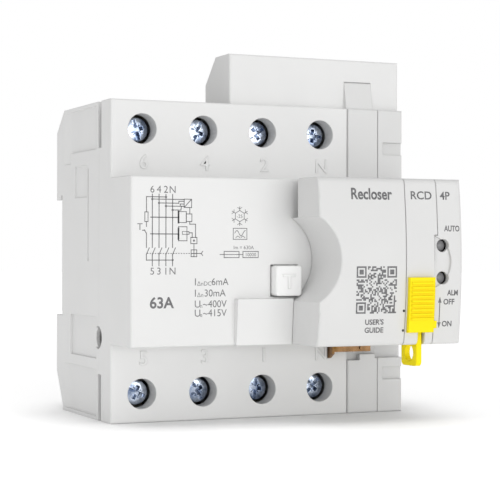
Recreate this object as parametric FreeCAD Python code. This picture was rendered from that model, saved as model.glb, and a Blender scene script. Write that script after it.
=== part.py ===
import FreeCAD, Part
import math
import os

# Residual current breaker, four modules wide, with a one-module motor recloser at its right.
# Millimetres. X runs left to right, +Y from the front towards the wall, +Z up.
# The origin is the centre of the face that rests on the DIN rail.

os.makedirs("parts", exist_ok=True)
V = FreeCAD.Vector

# ---- Driving dimensions: envelope ----
module_width = 18.0
pole_count = 4
housing_height = 88.0
nose_height = 45.0
shoulder_depth = 44.0        # rail face to the shoulder face
nose_projection = 16.0       # shoulder face to the breaker's nose face
cover_projection = 16.5      # nose face to the recloser's front, at its top and bottom edges
arch_rise = 1.5              # extra depth of the recloser's front at mid height
cover_span = 25.9            # width of the linkage cover over the breaker's nose
wall = 1.8
rear_wall = 2.0
module_gap = 0.2             # between the breaker and the recloser
seam_gap = 0.2               # groove along a joint between two shells
seam_depth = 0.5
edge_radius = 0.6
cover_radius = 1.6
parting_setback = 9.9        # shoulder face to the joint of the breaker's two housings

# ---- Driving dimensions: DIN rail ----
rail_height = 35.0
rail_offset = 1.5            # rail centre above the housing's mid height
rail_flange = 1.0
rail_clearance = 0.1
foot_depth = 5.2
hook_grip = 1.2
latch_grip = 1.0
latch_width = 11.0
latch_travel = 3.0
seat_relief = 0.3
foot_chamfer_y = 7.1
foot_chamfer_z = 6.2
low_chamfer_z = 11.3

# ---- Driving dimensions: terminals ----
terminal_inset = 7.9         # top or bottom face to the screw axis
access_hole_d = 8.3
access_hole_depth = 5.2
screw_setback = 5.0          # shoulder face to the screw head
screw_head_d = 7.0
screw_head_height = 2.5
screw_d = 6.0
screw_bearing_gap = 1.0      # head to the closed cage
cage_side_gap = 3.0          # cage to the middle of the wall between two poles
cage_height = 10.0
cage_wall = 1.5
cage_front_wall = 2.5
cage_rear_room = 8.5
bar_thickness = 2.0
bar_gap = 0.5
partition = 1.6
entry_margin = 0.2

# ---- Driving dimensions: breaker mechanism ----
running_gap = 0.05
shaft_radius = 5.0
journal_radius = 4.0
shaft_depth = 25.0
shaft_height = 10.0
arm_reach = 15.5
arm_width = 4.0
arm_thickness = 2.0
tip_thickness = 1.2
contact_gap = 0.1
toggle_swing = 45.0
open_angle = 4 * toggle_swing / 9
toggle_width = 9.0
drum_radius = 8.5
drum_overhang = 2.5          # drum in front of the nose face
lever_length = 17.0
bar_radius_from_axis = 14.0
axle_radius = 1.5
coupling_bar_radius = 2.0
toggle_crank = 4.0
link_half_width = 1.8
core_outer = 14.0
core_inner = 6.5
core_height = 12.0
conductor_radius = 1.5

# ---- Driving dimensions: front controls ----
button_width = 7.7
button_height = 8.2
button_mid_z = -5.2
button_inset = 1.9           # how far the button reaches under the cover's left edge
button_proud = 3.3
button_travel = 2.2
fit_gap = 0.25
bite_radius = 13.1
bite_offset = 6.7            # bite centre left of the cover's left edge
bite_height = 0.65
boss_width = 16.5
boss_top = -10.0
boss_proud_top = 2.2
boss_proud_low = 1.1
slider_inset = 0.5
slider_width = 7.8
slider_top = -4.2
slider_bottom = -19.1
slider_proud = 1.3
slider_travel = 6.5
rib_pitch = 1.2
rib_height = 0.45
rib_count = 9
tongue_thickness = 1.6
tongue_depth = 8.1
tongue_drop = 5.9            # ring below the cover's lower edge
tongue_travel = 5.0
padlock_hole_d = 4.6
padlock_rim = 1.2
lens_radius = 1.75
lens_spacing = 8.8

# ---- Driving dimensions: recloser drive ----
recloser_wall = 1.6
split_offset = 9.8           # recloser's left face to the joint of its shells
split_step = 0.9
split_step_height = 7.2
sector_module = 0.8
sector_teeth = 48
gear_small_teeth = 12
gear_module = 0.5
gear_big_teeth = 40
motor_teeth = 14
backlash = 0.14
lever_thickness = 2.0
gear_thickness = 2.4
motor_radius = 10.0

# ---- Driving dimensions: supply block ----
block_modules = 3
block_height = 14.3
block_setback = 2.7          # shoulder face to the block's front
block_depth = 17.7
block_chamfer_y = 7.5
block_chamfer_z = 7.4

# ---- Places worked out from the driving dimensions ----
half_width = (pole_count + 1) * module_width / 2
left_x = -half_width
right_x = half_width
seam_x = left_x + pole_count * module_width
breaker_right = seam_x - module_gap / 2
recloser_left = seam_x + module_gap / 2
half_height = housing_height / 2
half_nose = nose_height / 2
shoulder_y = -shoulder_depth
nose_y = shoulder_y - nose_projection
cover_y = nose_y - cover_projection
parting_y = shoulder_y + parting_setback
rail_top = rail_offset + rail_height / 2
rail_bottom = rail_offset - rail_height / 2
pole_x = [left_x + module_width * (i + 0.5) for i in range(pole_count)]
partition_x = [left_x + module_width * i for i in range(1, pole_count)]
screw_z = half_height - terminal_inset
head_y = shoulder_y + screw_setback
head_back_y = head_y + screw_head_height
cage_width = module_width - 2 * cage_side_gap
cage_inner = cage_width - 2 * cage_wall
bar_width = cage_inner - 1.0
cage_rear_inner_y = -rear_wall - cage_rear_room
screw_tip_y = (head_back_y + cage_rear_inner_y) / 2 + 1.5
bar_front_y = screw_tip_y + bar_gap
bar_back_y = bar_front_y + bar_thickness
cage_travel = cage_rear_inner_y - bar_back_y - 1.0
cage_front_y = head_back_y + screw_bearing_gap + cage_travel
floor_z = screw_z - cage_height / 2 - 1.3
arch_radius = (half_nose ** 2 + arch_rise ** 2) / (2 * arch_rise)
arch_centre_y = cover_y - arch_rise + arch_radius
cover_left = seam_x - cover_span
toggle_y = nose_y + drum_radius - drum_overhang
toggle_x = cover_left - bite_offset + bite_radius + wall + 0.25 + toggle_width / 2
half_swing = toggle_swing / 2


# ---- Shape helpers ----
def box(x0, x1, y0, y1, z0, z1):
    return Part.makeBox(x1 - x0, y1 - y0, z1 - z0, V(x0, y0, z0))


def rod_x(x0, x1, y, z, radius):
    return Part.makeCylinder(radius, x1 - x0, V(x0, y, z), V(1, 0, 0))


def rod_y(x, y0, y1, z, radius):
    return Part.makeCylinder(radius, y1 - y0, V(x, y0, z), V(0, 1, 0))


def rod_z(x, y, z0, z1, radius):
    return Part.makeCylinder(radius, z1 - z0, V(x, y, z0), V(0, 0, 1))


def prism_x(outline, x0, x1):
    """Solid from a closed (y, z) outline, between two x planes."""
    points = [V(x0, y, z) for y, z in outline]
    return Part.Face(Part.makePolygon(points + points[:1])).extrude(V(x1 - x0, 0, 0))


def turned(shape, degrees, y, z):
    """A copy turned about an axis along X; positive carries +Y towards +Z."""
    copy = shape.copy()
    copy.rotate(V(0, y, z), V(1, 0, 0), degrees)
    return copy


def moved(shape, x, y, z):
    copy = shape.copy()
    copy.translate(V(x, y, z))
    return copy


def joined(shapes):
    result = shapes[0]
    for shape in shapes[1:]:
        result = result.fuse(shape)
    return result.removeSplitter()


def rounded(shape, radius, wanted):
    """Fillets the straight or bowed edges whose middle point passes the test."""
    edges = [edge for edge in shape.Edges if wanted(edge)]
    return shape.makeFillet(radius, edges) if edges else shape


def middle(edge):
    return edge.valueAt((edge.FirstParameter + edge.LastParameter) / 2)


def save(node, shape):
    shape.exportStep("parts/" + node + ".step")


def both_ends(make):
    """The same shape at the top and, mirrored, at the bottom."""
    upper = make()
    return [upper, upper.mirror(V(0, 0, 0), V(0, 0, 1))]


# ---- Outlines shared by the breaker and the recloser ----
def base_outline(inset=0.0):
    """Side view of the base: shoulder, top, rail hook, rail face, lower foot and bottom."""
    high = half_height - inset
    front = shoulder_y + inset
    if inset:
        return [(front, -high), (-inset, -high), (-inset, high), (front, high)]
    lip_y = rail_flange + rail_clearance * 3
    return [
        (front, -high),
        (foot_depth - foot_chamfer_y + 1.0, -high),
        (foot_depth - foot_chamfer_y + 1.0, -high + 1.5),
        (foot_depth, -high + low_chamfer_z),
        (foot_depth, rail_bottom - rail_clearance),
        (0.0, rail_bottom - rail_clearance),
        (0.0, rail_top + rail_clearance),
        (lip_y, rail_top + rail_clearance),
        (lip_y, rail_top - hook_grip),
        (foot_depth, rail_top - hook_grip),
        (foot_depth, high - foot_chamfer_z),
        (foot_depth - foot_chamfer_y, high),
        (front, high),
    ]


def bowed_block(x0, x1, inset, back_y):
    """Block with the recloser's bowed front, shrunk on all sides by the inset."""
    half = half_nose - inset
    radius = arch_radius - inset
    edge_y = arch_centre_y - math.sqrt(radius ** 2 - half ** 2)
    low_back = V(x0, back_y, -half)
    low_front = V(x0, edge_y, -half)
    high_front = V(x0, edge_y, half)
    high_back = V(x0, back_y, half)
    bow = Part.Arc(low_front, V(x0, arch_centre_y - radius, 0), high_front)
    sides = [Part.LineSegment(low_back, low_front), bow,
             Part.LineSegment(high_front, high_back), Part.LineSegment(high_back, low_back)]
    wire = Part.Wire([side.toShape() for side in sides])
    return Part.Face(wire).extrude(V(x1 - x0, 0, 0))


def arched_shell(radius_out, radius_in, x0, x1, z0, z1):
    """Plate that follows the bowed front, between two radii about the arch's centre."""
    outer = rod_x(x0, x1, arch_centre_y, 0, radius_out)
    inner = rod_x(x0 - 1, x1 + 1, arch_centre_y, 0, radius_in)
    return outer.cut(inner).common(box(x0, x1, cover_y - 20, nose_y, z0, z1))


# ---- Rail latches ----
groove_neck = latch_width - 2.8
latch_step_y = 2.3


def latch_groove(x):
    """Groove in the lower foot that a rail latch slides in, open to the rear and below."""
    wide = box(x - latch_width / 2 - 0.2, x + latch_width / 2 + 0.2, 0.3, latch_step_y + 0.1,
               -half_height - 1, rail_bottom + 1)
    neck = box(x - groove_neck / 2 - 0.2, x + groove_neck / 2 + 0.2, latch_step_y, foot_depth + 1,
               -half_height - 1, rail_bottom + 1)
    return wide.fuse(neck)


def rail_latch(x):
    """Sliding latch: a tongue held in the groove, a lip behind the rail, a slot for a screwdriver."""
    lip_y = rail_flange + rail_clearance * 4
    top = rail_bottom - rail_clearance
    tongue = box(x - latch_width / 2, x + latch_width / 2, 0.5, latch_step_y - 0.1, top - 15.5, top - 1.4)
    neck = box(x - groove_neck / 2, x + groove_neck / 2, latch_step_y - 0.1, foot_depth - 0.3,
               top - 17.5, top - 1.4)
    lip = box(x - groove_neck / 2, x + groove_neck / 2, lip_y, foot_depth - 0.3,
              top - 1.4, rail_bottom + latch_grip)
    slot = box(x - 2, x + 2, latch_step_y, foot_depth, top - 15.0, top - 12.8)
    return joined([tongue, neck, lip]).cut(slot)


def seat_reliefs(x0, x1):
    """Shallow strips beside the rail seat, where the hook and the latches reach over the rail."""
    high = box(x0, x1, -seat_relief, 1.0, rail_top - hook_grip - rail_clearance, rail_top + rail_clearance)
    low = box(x0, x1, -seat_relief, 0.5, rail_bottom - rail_clearance,
              rail_bottom + latch_grip + rail_clearance)
    return [high, low]


breaker_latch_x = [pole_x[0], pole_x[-1]]
recloser_latch_x = seam_x + module_width / 2
save("breaker_latch_left", rail_latch(breaker_latch_x[0]))
save("breaker_latch_right", rail_latch(breaker_latch_x[1]))
save("recloser_latch", rail_latch(recloser_latch_x))

# ---- Breaker: rear housing ----
inner_left = left_x + wall
inner_right = breaker_right - wall
inner_high = half_height - wall
bearing_z0 = shaft_height - 7.0
bearing_z1 = shaft_height + 7.0
bearing_width = 2.0
housing_screw_x = [partition_x[0], partition_x[-1]]
housing_screw_z = floor_z + 2.7
housing_screw_radius = 1.5
housing_boss_radius = 2.6
side_slot_y = (parting_y - 1.8, parting_y + 0.8)
side_slot_z = half_height - 12.8
accessory_hole_radius = 3.15
accessory_hole = (parting_y + 0.8, -21.1)

base_solid = prism_x(base_outline(), left_x, breaker_right)
rear_block = base_solid.common(box(left_x, breaker_right, parting_y, foot_depth, -half_height, half_height))
rear_room = box(inner_left, inner_right, parting_y - 1, -rear_wall, -inner_high, inner_high)


def chamber_walls(y0, y1):
    """Walls between the terminal chambers and the floor under them, at one end."""
    walls = [box(x - partition / 2, x + partition / 2, y0, y1, floor_z, inner_high) for x in partition_x]
    return joined([box(inner_left, inner_right, y0, y1, floor_z - wall, floor_z)] + walls)


def housing_screw_posts(y0, y1):
    posts = [rod_y(x, y0, y1, housing_screw_z, housing_boss_radius) for x in housing_screw_x]
    return posts[0].fuse(posts[1:])


def shaft_bearing(x0, x1):
    """Post with a U-shaped seat for the contact shaft, open towards the front."""
    post = box(x0, x1, -shaft_depth - 6.0, -rear_wall, bearing_z0, bearing_z1)
    seat = rod_x(x0 - 1, x1 + 1, -shaft_depth, shaft_height, journal_radius + running_gap)
    mouth = box(x0 - 1, x1 + 1, -shaft_depth - 7.0, -shaft_depth,
                shaft_height - journal_radius - running_gap,
                shaft_height + journal_radius + running_gap)
    return post.cut(seat.fuse(mouth))


rear_parts = [rear_block.cut(rear_room)]
rear_parts += both_ends(lambda: chamber_walls(parting_y, -rear_wall))
rear_parts += both_ends(lambda: housing_screw_posts(parting_y, -rear_wall))
shaft_mid_x = (partition_x[0] + partition_x[-1]) / 2
bearing_spans = [(inner_left, inner_left + bearing_width),
                 (shaft_mid_x - 0.8, shaft_mid_x + 0.8),
                 (inner_right - bearing_width, inner_right)]
rear_parts += [shaft_bearing(x0, x1) for x0, x1 in bearing_spans]
core_centre = (shaft_mid_x, -20.5)
core_top = -9.0
core_bottom = core_top - core_height
core_shelf = box(core_centre[0] - 11, core_centre[0] + 11, core_centre[1] + 7.5, -rear_wall,
                 core_bottom - 1.5, core_bottom)
rear_housing = joined(rear_parts + [core_shelf])


def wire_entry(x):
    """Conductor entry behind the terminal bar, at the top face."""
    return box(x - cage_inner / 2, x + cage_inner / 2, bar_back_y + entry_margin,
               cage_rear_inner_y - entry_margin, inner_high - 1, half_height + 1)


def bar_slot(x):
    """Opening in the chamber floor for the terminal bar."""
    return box(x - bar_width / 2 - 0.3, x + bar_width / 2 + 0.3, bar_front_y - 0.3, bar_back_y + 0.3,
               floor_z - wall - 1, floor_z + 1)


def housing_screw_hole(x):
    return joined([rod_y(x, parting_y - 1, foot_depth + 1, housing_screw_z, housing_screw_radius + 0.1),
                   rod_y(x, foot_depth - 2.8, foot_depth + 1, housing_screw_z, 2.9)])


rear_cuts = [latch_groove(x) for x in breaker_latch_x] + seat_reliefs(left_x - 1, breaker_right + 1)
for x in pole_x:
    rear_cuts += both_ends(lambda: wire_entry(x))
    rear_cuts += both_ends(lambda: bar_slot(x))
for x in housing_screw_x:
    rear_cuts += both_ends(lambda: housing_screw_hole(x))
rear_cuts.append(rod_x(left_x - 1, inner_left + 0.01, accessory_hole[0], accessory_hole[1],
                       accessory_hole_radius))
rear_cuts += both_ends(lambda: box(left_x - 1, inner_left + 0.01, side_slot_y[0], side_slot_y[1],
                                   side_slot_z, half_height + 1))

# Shallow panels on the left face: (y0, y1, z0, z1, depth)
panel_front = parting_y + 2.5
panel_rear = -8.5
side_panels = [
    (panel_front, panel_rear, side_slot_z - 0.2, half_height - 1.0, 0.6),
    (-23.5, -12.5, half_nose - 4.5, half_nose + 4.5, 0.35),
    (panel_front, panel_rear, -half_nose - 4.5, -half_nose + 7.0, 0.6),
    (panel_front, panel_rear, -half_height + 1.0, -side_slot_z + 1.2, 0.6),
    (-24.8, -24.0, 0.0, half_nose + 3.5, 0.3),
]
for y0, y1, z0, z1, depth in side_panels:
    rear_cuts.append(box(left_x - 1, left_x + depth, y0, y1, z0, z1))


def side_ramp(z0, z1):
    """Slanted strip beside a panel, from the panel's floor out to the side face."""
    ramp = [(panel_rear, 0.6), (panel_rear + 6.5, 0.0), (panel_rear + 6.5, -1.0), (panel_rear, -1.0)]
    points = [V(left_x + x, y, z0) for y, x in ramp]
    return Part.Face(Part.makePolygon(points + points[:1])).extrude(V(0, 0, z1 - z0))


rear_cuts.append(side_ramp(side_slot_z - 3.2, half_height - 1.0))
rear_cuts.append(side_ramp(-half_height + 1.0, -side_slot_z + 1.2))
rear_housing = rear_housing.cut(rear_cuts)
save("rear_housing", rear_housing)

# ---- Breaker: front housing ----
nose_block = box(left_x, breaker_right, nose_y, shoulder_y + 1, -half_nose, half_nose)
nose_block = rounded(nose_block, edge_radius, lambda e: abs(middle(e).y - nose_y) < 1e-6)
front_block = base_solid.common(box(left_x, breaker_right, shoulder_y, parting_y, -half_height, half_height))
front_block = rounded(front_block, edge_radius, lambda e: abs(middle(e).y - shoulder_y) < 1e-6)
boss_right = cover_left - 0.1
boss_outline = [(nose_y + 1, boss_top), (nose_y - boss_proud_top, boss_top),
                (nose_y - boss_proud_low, -half_nose), (nose_y + 1, -half_nose)]
boss = prism_x(boss_outline, boss_right - boss_width, boss_right)
front_solid = joined([front_block, nose_block, boss])
front_room = joined([
    box(inner_left, inner_right, shoulder_y + wall, parting_y + 1, -inner_high, inner_high),
    box(inner_left, inner_right, nose_y + wall, parting_y + 1, -half_nose + wall, half_nose - wall),
])
bracket_gap = 0.4
toggle_left = toggle_x - toggle_width / 2
toggle_right = toggle_x + toggle_width / 2
link_thickness = 1.4
link_left = toggle_left - 0.3 - link_thickness
bracket_spans = [(link_left - bracket_gap - 2.0, link_left - bracket_gap),
                 (toggle_right + bracket_gap, toggle_right + bracket_gap + 2.0)]


def axle_bracket(x0, x1):
    """Bracket behind the nose face that holds the toggle's axle."""
    plate = box(x0, x1, nose_y + wall, toggle_y + 4.5, -4.5, 4.5)
    return plate.cut(rod_x(x0 - 1, x1 + 1, toggle_y, 0, axle_radius))


front_parts = [front_solid.cut(front_room)]
front_parts += both_ends(lambda: chamber_walls(shoulder_y + wall, parting_y))
front_parts += both_ends(lambda: housing_screw_posts(shoulder_y + wall, parting_y))
front_parts += [axle_bracket(x0, x1) for x0, x1 in bracket_spans]
for x in pole_x:
    front_parts += both_ends(lambda: rod_y(x, shoulder_y + 0.5, shoulder_y + access_hole_depth, screw_z,
                                           access_hole_d / 2 + 1.6))
front_housing = joined(front_parts)
button_right = cover_left + button_inset
button_left = button_right - button_width
button_low = button_mid_z - button_height / 2
button_high = button_mid_z + button_height / 2
window_half = math.sqrt(drum_radius ** 2 - (toggle_y - nose_y - wall) ** 2) + 0.4
link_slot_z = (wall - floor_z + 0.1, -half_nose - 1.3)
link_x0 = seam_x - 6.4
link_plate = 0.8
front_cuts = []
for x in pole_x:
    front_cuts += both_ends(lambda: rod_y(x, shoulder_y - 1, parting_y - 1, screw_z, access_hole_d / 2))
for x in housing_screw_x:
    front_cuts += both_ends(lambda: rod_y(x, shoulder_y + 3.0, parting_y + 1, housing_screw_z,
                                          housing_screw_radius))
front_cuts.append(box(toggle_left - 0.3, toggle_right + 0.3, nose_y - 1, nose_y + wall + 0.01,
                      -window_half, window_half))
front_cuts.append(box(button_left - fit_gap, button_right + fit_gap, nose_y - 3, nose_y + wall + 0.01,
                      button_low - fit_gap, button_high + fit_gap))
front_cuts.append(rod_x(left_x - 1, inner_left + 0.01, accessory_hole[0], accessory_hole[1],
                        accessory_hole_radius))
front_cuts += both_ends(lambda: box(left_x - 1, inner_left + 0.01, side_slot_y[0], side_slot_y[1],
                                    side_slot_z, half_height + 1))
front_cuts.append(box(link_x0 - 0.1, link_x0 + link_plate + 0.1, shoulder_y - 1, shoulder_y + wall + 0.01,
                      link_slot_z[0], link_slot_z[1]))
pin_x = [pole_x[-2], pole_x[-1]]
pin_y = shoulder_y + 6.0
for x in pin_x:
    front_cuts.append(box(x - 1.7, x + 1.7, pin_y - 0.6, pin_y + 0.6, inner_high - 1, half_height + 1))
front_housing = front_housing.cut(front_cuts)
save("front_housing", front_housing)

# ---- Terminals ----
for index, x in enumerate(pole_x):
    for end, sign in (("top", 1), ("bottom", -1)):
        z = sign * screw_z
        head = rod_y(x, head_y, head_back_y, z, screw_head_d / 2)
        shank = rod_y(x, head_back_y, screw_tip_y, z, screw_d / 2)
        slot = box(x - 2.8, x + 2.8, head_y - 1, head_y + 1.1, z - 0.5, z + 0.5)
        cross = box(x - 0.5, x + 0.5, head_y - 1, head_y + 1.4, z - 2.0, z + 2.0)
        save("terminal_screw_%s_%d" % (end, index + 1), joined([head, shank]).cut([slot, cross]))
        half = cage_width / 2
        frame = box(x - half, x + half, cage_front_y, cage_rear_inner_y + cage_wall,
                    z - cage_height / 2, z + cage_height / 2)
        mouth = box(x - cage_inner / 2, x + cage_inner / 2, cage_front_y + cage_front_wall,
                    cage_rear_inner_y,
                    z - cage_height, z + cage_height)
        thread = rod_y(x, cage_front_y - 1, cage_front_y + cage_front_wall + 1, z, screw_d / 2 + running_gap)
        save("clamp_cage_%s_%d" % (end, index + 1), frame.cut([mouth, thread]))

bar_outer_z = screw_z + cage_height / 2
tip_low = shaft_height + arm_reach - 3.5
tip_high = shaft_height + arm_reach
upper_bars = []
lower_bars = []
lower_bar_end = floor_z - wall - 1.3
for x in pole_x:
    strip = box(x - bar_width / 2, x + bar_width / 2, bar_front_y, bar_back_y, tip_low - 0.5, bar_outer_z)
    tip = box(x - arm_width / 2, x + arm_width / 2, -shaft_depth + 2.3, bar_front_y, tip_low, tip_high)
    upper_bars.append(joined([strip, tip]))
    lower_bars.append(box(x - bar_width / 2, x + bar_width / 2, bar_front_y, bar_back_y,
                          -bar_outer_z, -lower_bar_end))
save("upper_terminal_bars", Part.makeCompound(upper_bars))
save("lower_terminal_bars", Part.makeCompound(lower_bars))

# ---- Contact shaft, moving contacts and their springs, drawn closed and turned open ----
def opened(shape):
    return turned(shape, open_angle, -shaft_depth, shaft_height)


moving_tip_back = -shaft_depth + 2.3 - contact_gap
arm_back = moving_tip_back - tip_thickness
arm_front = arm_back - arm_thickness
arms = []
arm_seats = []
for x in pole_x:
    arm = box(x - arm_width / 2, x + arm_width / 2, arm_front, arm_back, shaft_height - 3.0, tip_high)
    tip = box(x - arm_width / 2, x + arm_width / 2, arm_back, moving_tip_back, tip_low, tip_high)
    arms.append(opened(joined([arm, tip])))
    arm_seats.append(arm)
save("moving_contact_arms", Part.makeCompound(arms))

shaft_parts = []
shaft_x0 = inner_left + 0.3
shaft_x1 = inner_right - 0.3
shaft = rod_x(shaft_x0, shaft_x1, -shaft_depth, shaft_height, shaft_radius)
for x0, x1 in bearing_spans:
    neck_x0 = max(x0 - 0.4, shaft_x0 - 1)
    neck_x1 = min(x1 + 0.4, shaft_x1 + 1)
    neck = rod_x(neck_x0, neck_x1, -shaft_depth, shaft_height, shaft_radius + 1)
    shaft = shaft.cut(neck.cut(rod_x(neck_x0, neck_x1, -shaft_depth, shaft_height, journal_radius)))

# Parallel cranks under the two axes carry the toggle link; the shaft's crank is the longer one.
swing_ratio = open_angle / toggle_swing
shaft_crank = toggle_crank * math.sin(math.radians(half_swing)) / math.sin(math.radians(open_angle / 2))
axis_dy = -shaft_depth - toggle_y
axis_dz = shaft_height
axis_distance = math.hypot(axis_dy, axis_dz)
crank_turn = math.acos(-(shaft_crank - toggle_crank) / axis_distance)
crank_direction = math.atan2(axis_dz, axis_dy) - crank_turn
crank_cos = math.cos(crank_direction)
crank_sin = math.sin(crank_direction)
shaft_pin_mid = (-shaft_depth + shaft_crank * crank_cos, shaft_height + shaft_crank * crank_sin)
toggle_pin_mid = (toggle_y + toggle_crank * crank_cos, toggle_crank * crank_sin)
crank_x0 = link_left + link_thickness + 0.3
crank_x1 = crank_x0 + 1.8
pin_radius = 1.2


def bar_between(x0, x1, start, end, half_thick):
    """Flat bar with round ends between two points in a side view."""
    dy = end[0] - start[0]
    dz = end[1] - start[1]
    length = math.hypot(dy, dz)
    ny = -dz / length * half_thick
    nz = dy / length * half_thick
    outline = [(start[0] + ny, start[1] + nz), (end[0] + ny, end[1] + nz),
               (end[0] - ny, end[1] - nz), (start[0] - ny, start[1] - nz)]
    ends = [rod_x(x0, x1, point[0], point[1], half_thick) for point in (start, end)]
    return joined([prism_x(outline, x0, x1)] + ends)


crank = bar_between(crank_x0, crank_x1, (-shaft_depth, shaft_height), shaft_pin_mid, 2.2)
crank_pin = rod_x(link_left - 0.3, crank_x0 + 0.5, shaft_pin_mid[0], shaft_pin_mid[1], pin_radius)
crank_arm = turned(joined([crank, crank_pin]), -open_angle / 2, -shaft_depth, shaft_height)
shaft = joined([shaft, crank_arm]).cut(arm_seats)
save("contact_shaft", opened(shaft))


def coil_spring(radius, half_wire, length, turns):
    """Square-wire spring along +Z from the origin, ends trimmed inside the length."""
    height = length - 2 * half_wire
    helix = Part.makeHelix(height / turns, height, radius)
    inner = radius - half_wire
    outer = radius + half_wire
    corners = [V(inner, 0, -half_wire), V(outer, 0, -half_wire), V(outer, 0, half_wire),
               V(inner, 0, half_wire)]
    profile = Part.makePolygon(corners + corners[:1])
    return moved(Part.Wire(helix).makePipeShell([profile], True, True), 0, 0, half_wire)


springs = []
spring_offset = arm_width / 2 + 0.2
spring_length = bearing_spans[-1][0] - 0.3 - pole_x[-1] - spring_offset
for x in pole_x:
    spring = coil_spring(shaft_radius + 0.7, 0.35, spring_length, 2)
    spring.rotate(V(0, 0, 0), V(0, 1, 0), 90)
    springs.append(moved(spring, x + spring_offset, -shaft_depth, shaft_height))
save("contact_springs", Part.makeCompound(springs))


# ---- Toggle, its axle and its link, drawn in the middle and turned down ----
def lowered(shape):
    return turned(shape, half_swing, toggle_y, 0)


drum = rod_x(toggle_left, toggle_right, toggle_y, 0, drum_radius)
stub = box(toggle_left, toggle_right, toggle_y - lever_length, toggle_y, -2.5, 2.5)
stub = rounded(stub, 1.8, lambda e: abs(middle(e).y - toggle_y + lever_length) < 1e-6
               and abs(middle(e).x - toggle_x) < 1e-6)
toggle_pin = rod_x(link_left - 0.3, toggle_left + 0.5, toggle_pin_mid[0], toggle_pin_mid[1], pin_radius)
toggle = joined([drum, stub, toggle_pin])
toggle = toggle.cut([rod_x(toggle_left - 1, toggle_right + 1, toggle_y, 0, axle_radius + running_gap),
                     rod_x(toggle_left - 1, toggle_right + 1, toggle_y - bar_radius_from_axis, 0,
                           coupling_bar_radius + running_gap)])
save("toggle_handle", lowered(toggle))
save("toggle_axle", rod_x(bracket_spans[0][0], bracket_spans[1][1], toggle_y, 0, axle_radius))

pin_slack = 0.35
link = bar_between(link_left, link_left + link_thickness, toggle_pin_mid, shaft_pin_mid, link_half_width)
link = joined([link, rod_x(link_left, link_left + link_thickness, shaft_pin_mid[0], shaft_pin_mid[1], 2.6)])
link = link.cut([rod_x(link_left - 1, toggle_left, toggle_pin_mid[0], toggle_pin_mid[1],
                       pin_radius + running_gap),
                 rod_x(link_left - 1, crank_x0, shaft_pin_mid[0], shaft_pin_mid[1], pin_radius + pin_slack)])
pin_low = turned(Part.Vertex(V(0, toggle_pin_mid[0], toggle_pin_mid[1])), half_swing, toggle_y, 0).Point
save("toggle_link", moved(link, 0, pin_low.y - toggle_pin_mid[0], pin_low.z - toggle_pin_mid[1]))

# ---- Residual current detection ----
core_x, core_y = core_centre
core = rod_z(core_x, core_y, core_bottom, core_top, core_outer)
save("summation_core", core.cut(rod_z(core_x, core_y, core_bottom - 1, core_top + 1, core_inner)))
coat = 0.15
winding = rod_z(core_x, core_y, core_bottom - 1.2, core_top + 1.2, core_outer + 1.1)
winding = winding.cut(rod_z(core_x, core_y, core_bottom - 3, core_top + 3, core_inner - 0.6))
winding = winding.cut(rod_z(core_x, core_y, core_bottom - coat, core_top + coat, core_outer + coat).cut(
    rod_z(core_x, core_y, core_bottom - 1, core_top + 1, core_inner - coat)))
winding = winding.common(box(core_x, core_x + 2 * core_outer, core_y - 4.5, core_y + 4.5, -half_height, 0))
save("sensor_winding", winding)


def run(points, radius):
    """Round conductor through the points, with round corners."""
    pieces = []
    for start, end in zip(points, points[1:]):
        step = end.sub(start)
        pieces.append(Part.makeCylinder(radius, step.Length, start, step))
    pieces += [Part.makeSphere(radius, point) for point in points[1:-1]]
    return joined(pieces)


low_level = -24.5
high_level = -4.0
bar_mid_y = (bar_front_y + bar_back_y) / 2
conductors = []
for index, x in enumerate(pole_x):
    outer = index in (0, pole_count - 1)
    lane_y = core_y - 3.4 if outer else core_y + 3.4
    hole_x = core_x - 1.9 if index < pole_count / 2 else core_x + 1.9
    route = [V(x, bar_mid_y, -lower_bar_end), V(x, bar_mid_y, low_level), V(x, lane_y, low_level),
             V(hole_x, lane_y, low_level), V(hole_x, lane_y, high_level), V(x, lane_y, high_level),
             V(x, lane_y, 2.0)]
    conductors.append(run(route, conductor_radius))
save("primary_conductors", Part.makeCompound(conductors))

board_y = shoulder_y - 2.0
board_thickness = 1.6
board_right = bracket_spans[0][0] - 0.8
board_high = half_nose - wall - 1.2
board = box(inner_left + 1.0, board_right, board_y, board_y + board_thickness, -board_high, board_high)
board_parts = [board]
for dx, z, width, height, depth in ((6, 9, 8, 10, 7), (17, 10, 7, 7, 9), (28, -12, 10, 6, 5),
                                    (10, -12, 12, 5, 4)):
    part_x = inner_left + dx
    board_parts.append(box(part_x - width / 2, part_x + width / 2, board_y - depth, board_y,
                           z - height / 2, z + height / 2))
save("detection_board", Part.makeCompound([joined(board_parts)]))
resistor_y = board_y - 2.0
resistor_z = 0.0
resistor_x0 = inner_left + 8
resistor_x1 = inner_left + 17
resistor = rod_x(resistor_x0, resistor_x1, resistor_y, resistor_z, 1.3)
leads = [run([V(near, resistor_y, resistor_z), V(far, resistor_y, resistor_z), V(far, board_y, resistor_z)],
             0.3)
         for near, far in ((resistor_x0 + 1, resistor_x0 - 2), (resistor_x1 - 1, resistor_x1 + 2))]
save("test_resistor", joined([resistor] + leads))

# ---- Trip relay with its plunger and spring ----
relay_right = board_right - 3.0
relay_left = relay_right - 16.0
relay_back = board_y + board_thickness + 9.2
relay_z = 11.0
plunger_y = (board_y + board_thickness + relay_back) / 2
plunger_radius = 1.2
relay = box(relay_left, relay_right, board_y + board_thickness, relay_back, relay_z - 6, relay_z + 6)
relay = relay.cut(rod_x(relay_left + 6, relay_right + 1, plunger_y, relay_z, plunger_radius + running_gap))
save("trip_relay", relay)
collar_x = relay_right + 3.0
plunger = joined([rod_x(relay_left + 8.5, relay_right + 5.0, plunger_y, relay_z, plunger_radius),
                  rod_x(collar_x, collar_x + 0.8, plunger_y, relay_z, 2.2)])
save("trip_plunger", plunger)


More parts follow.
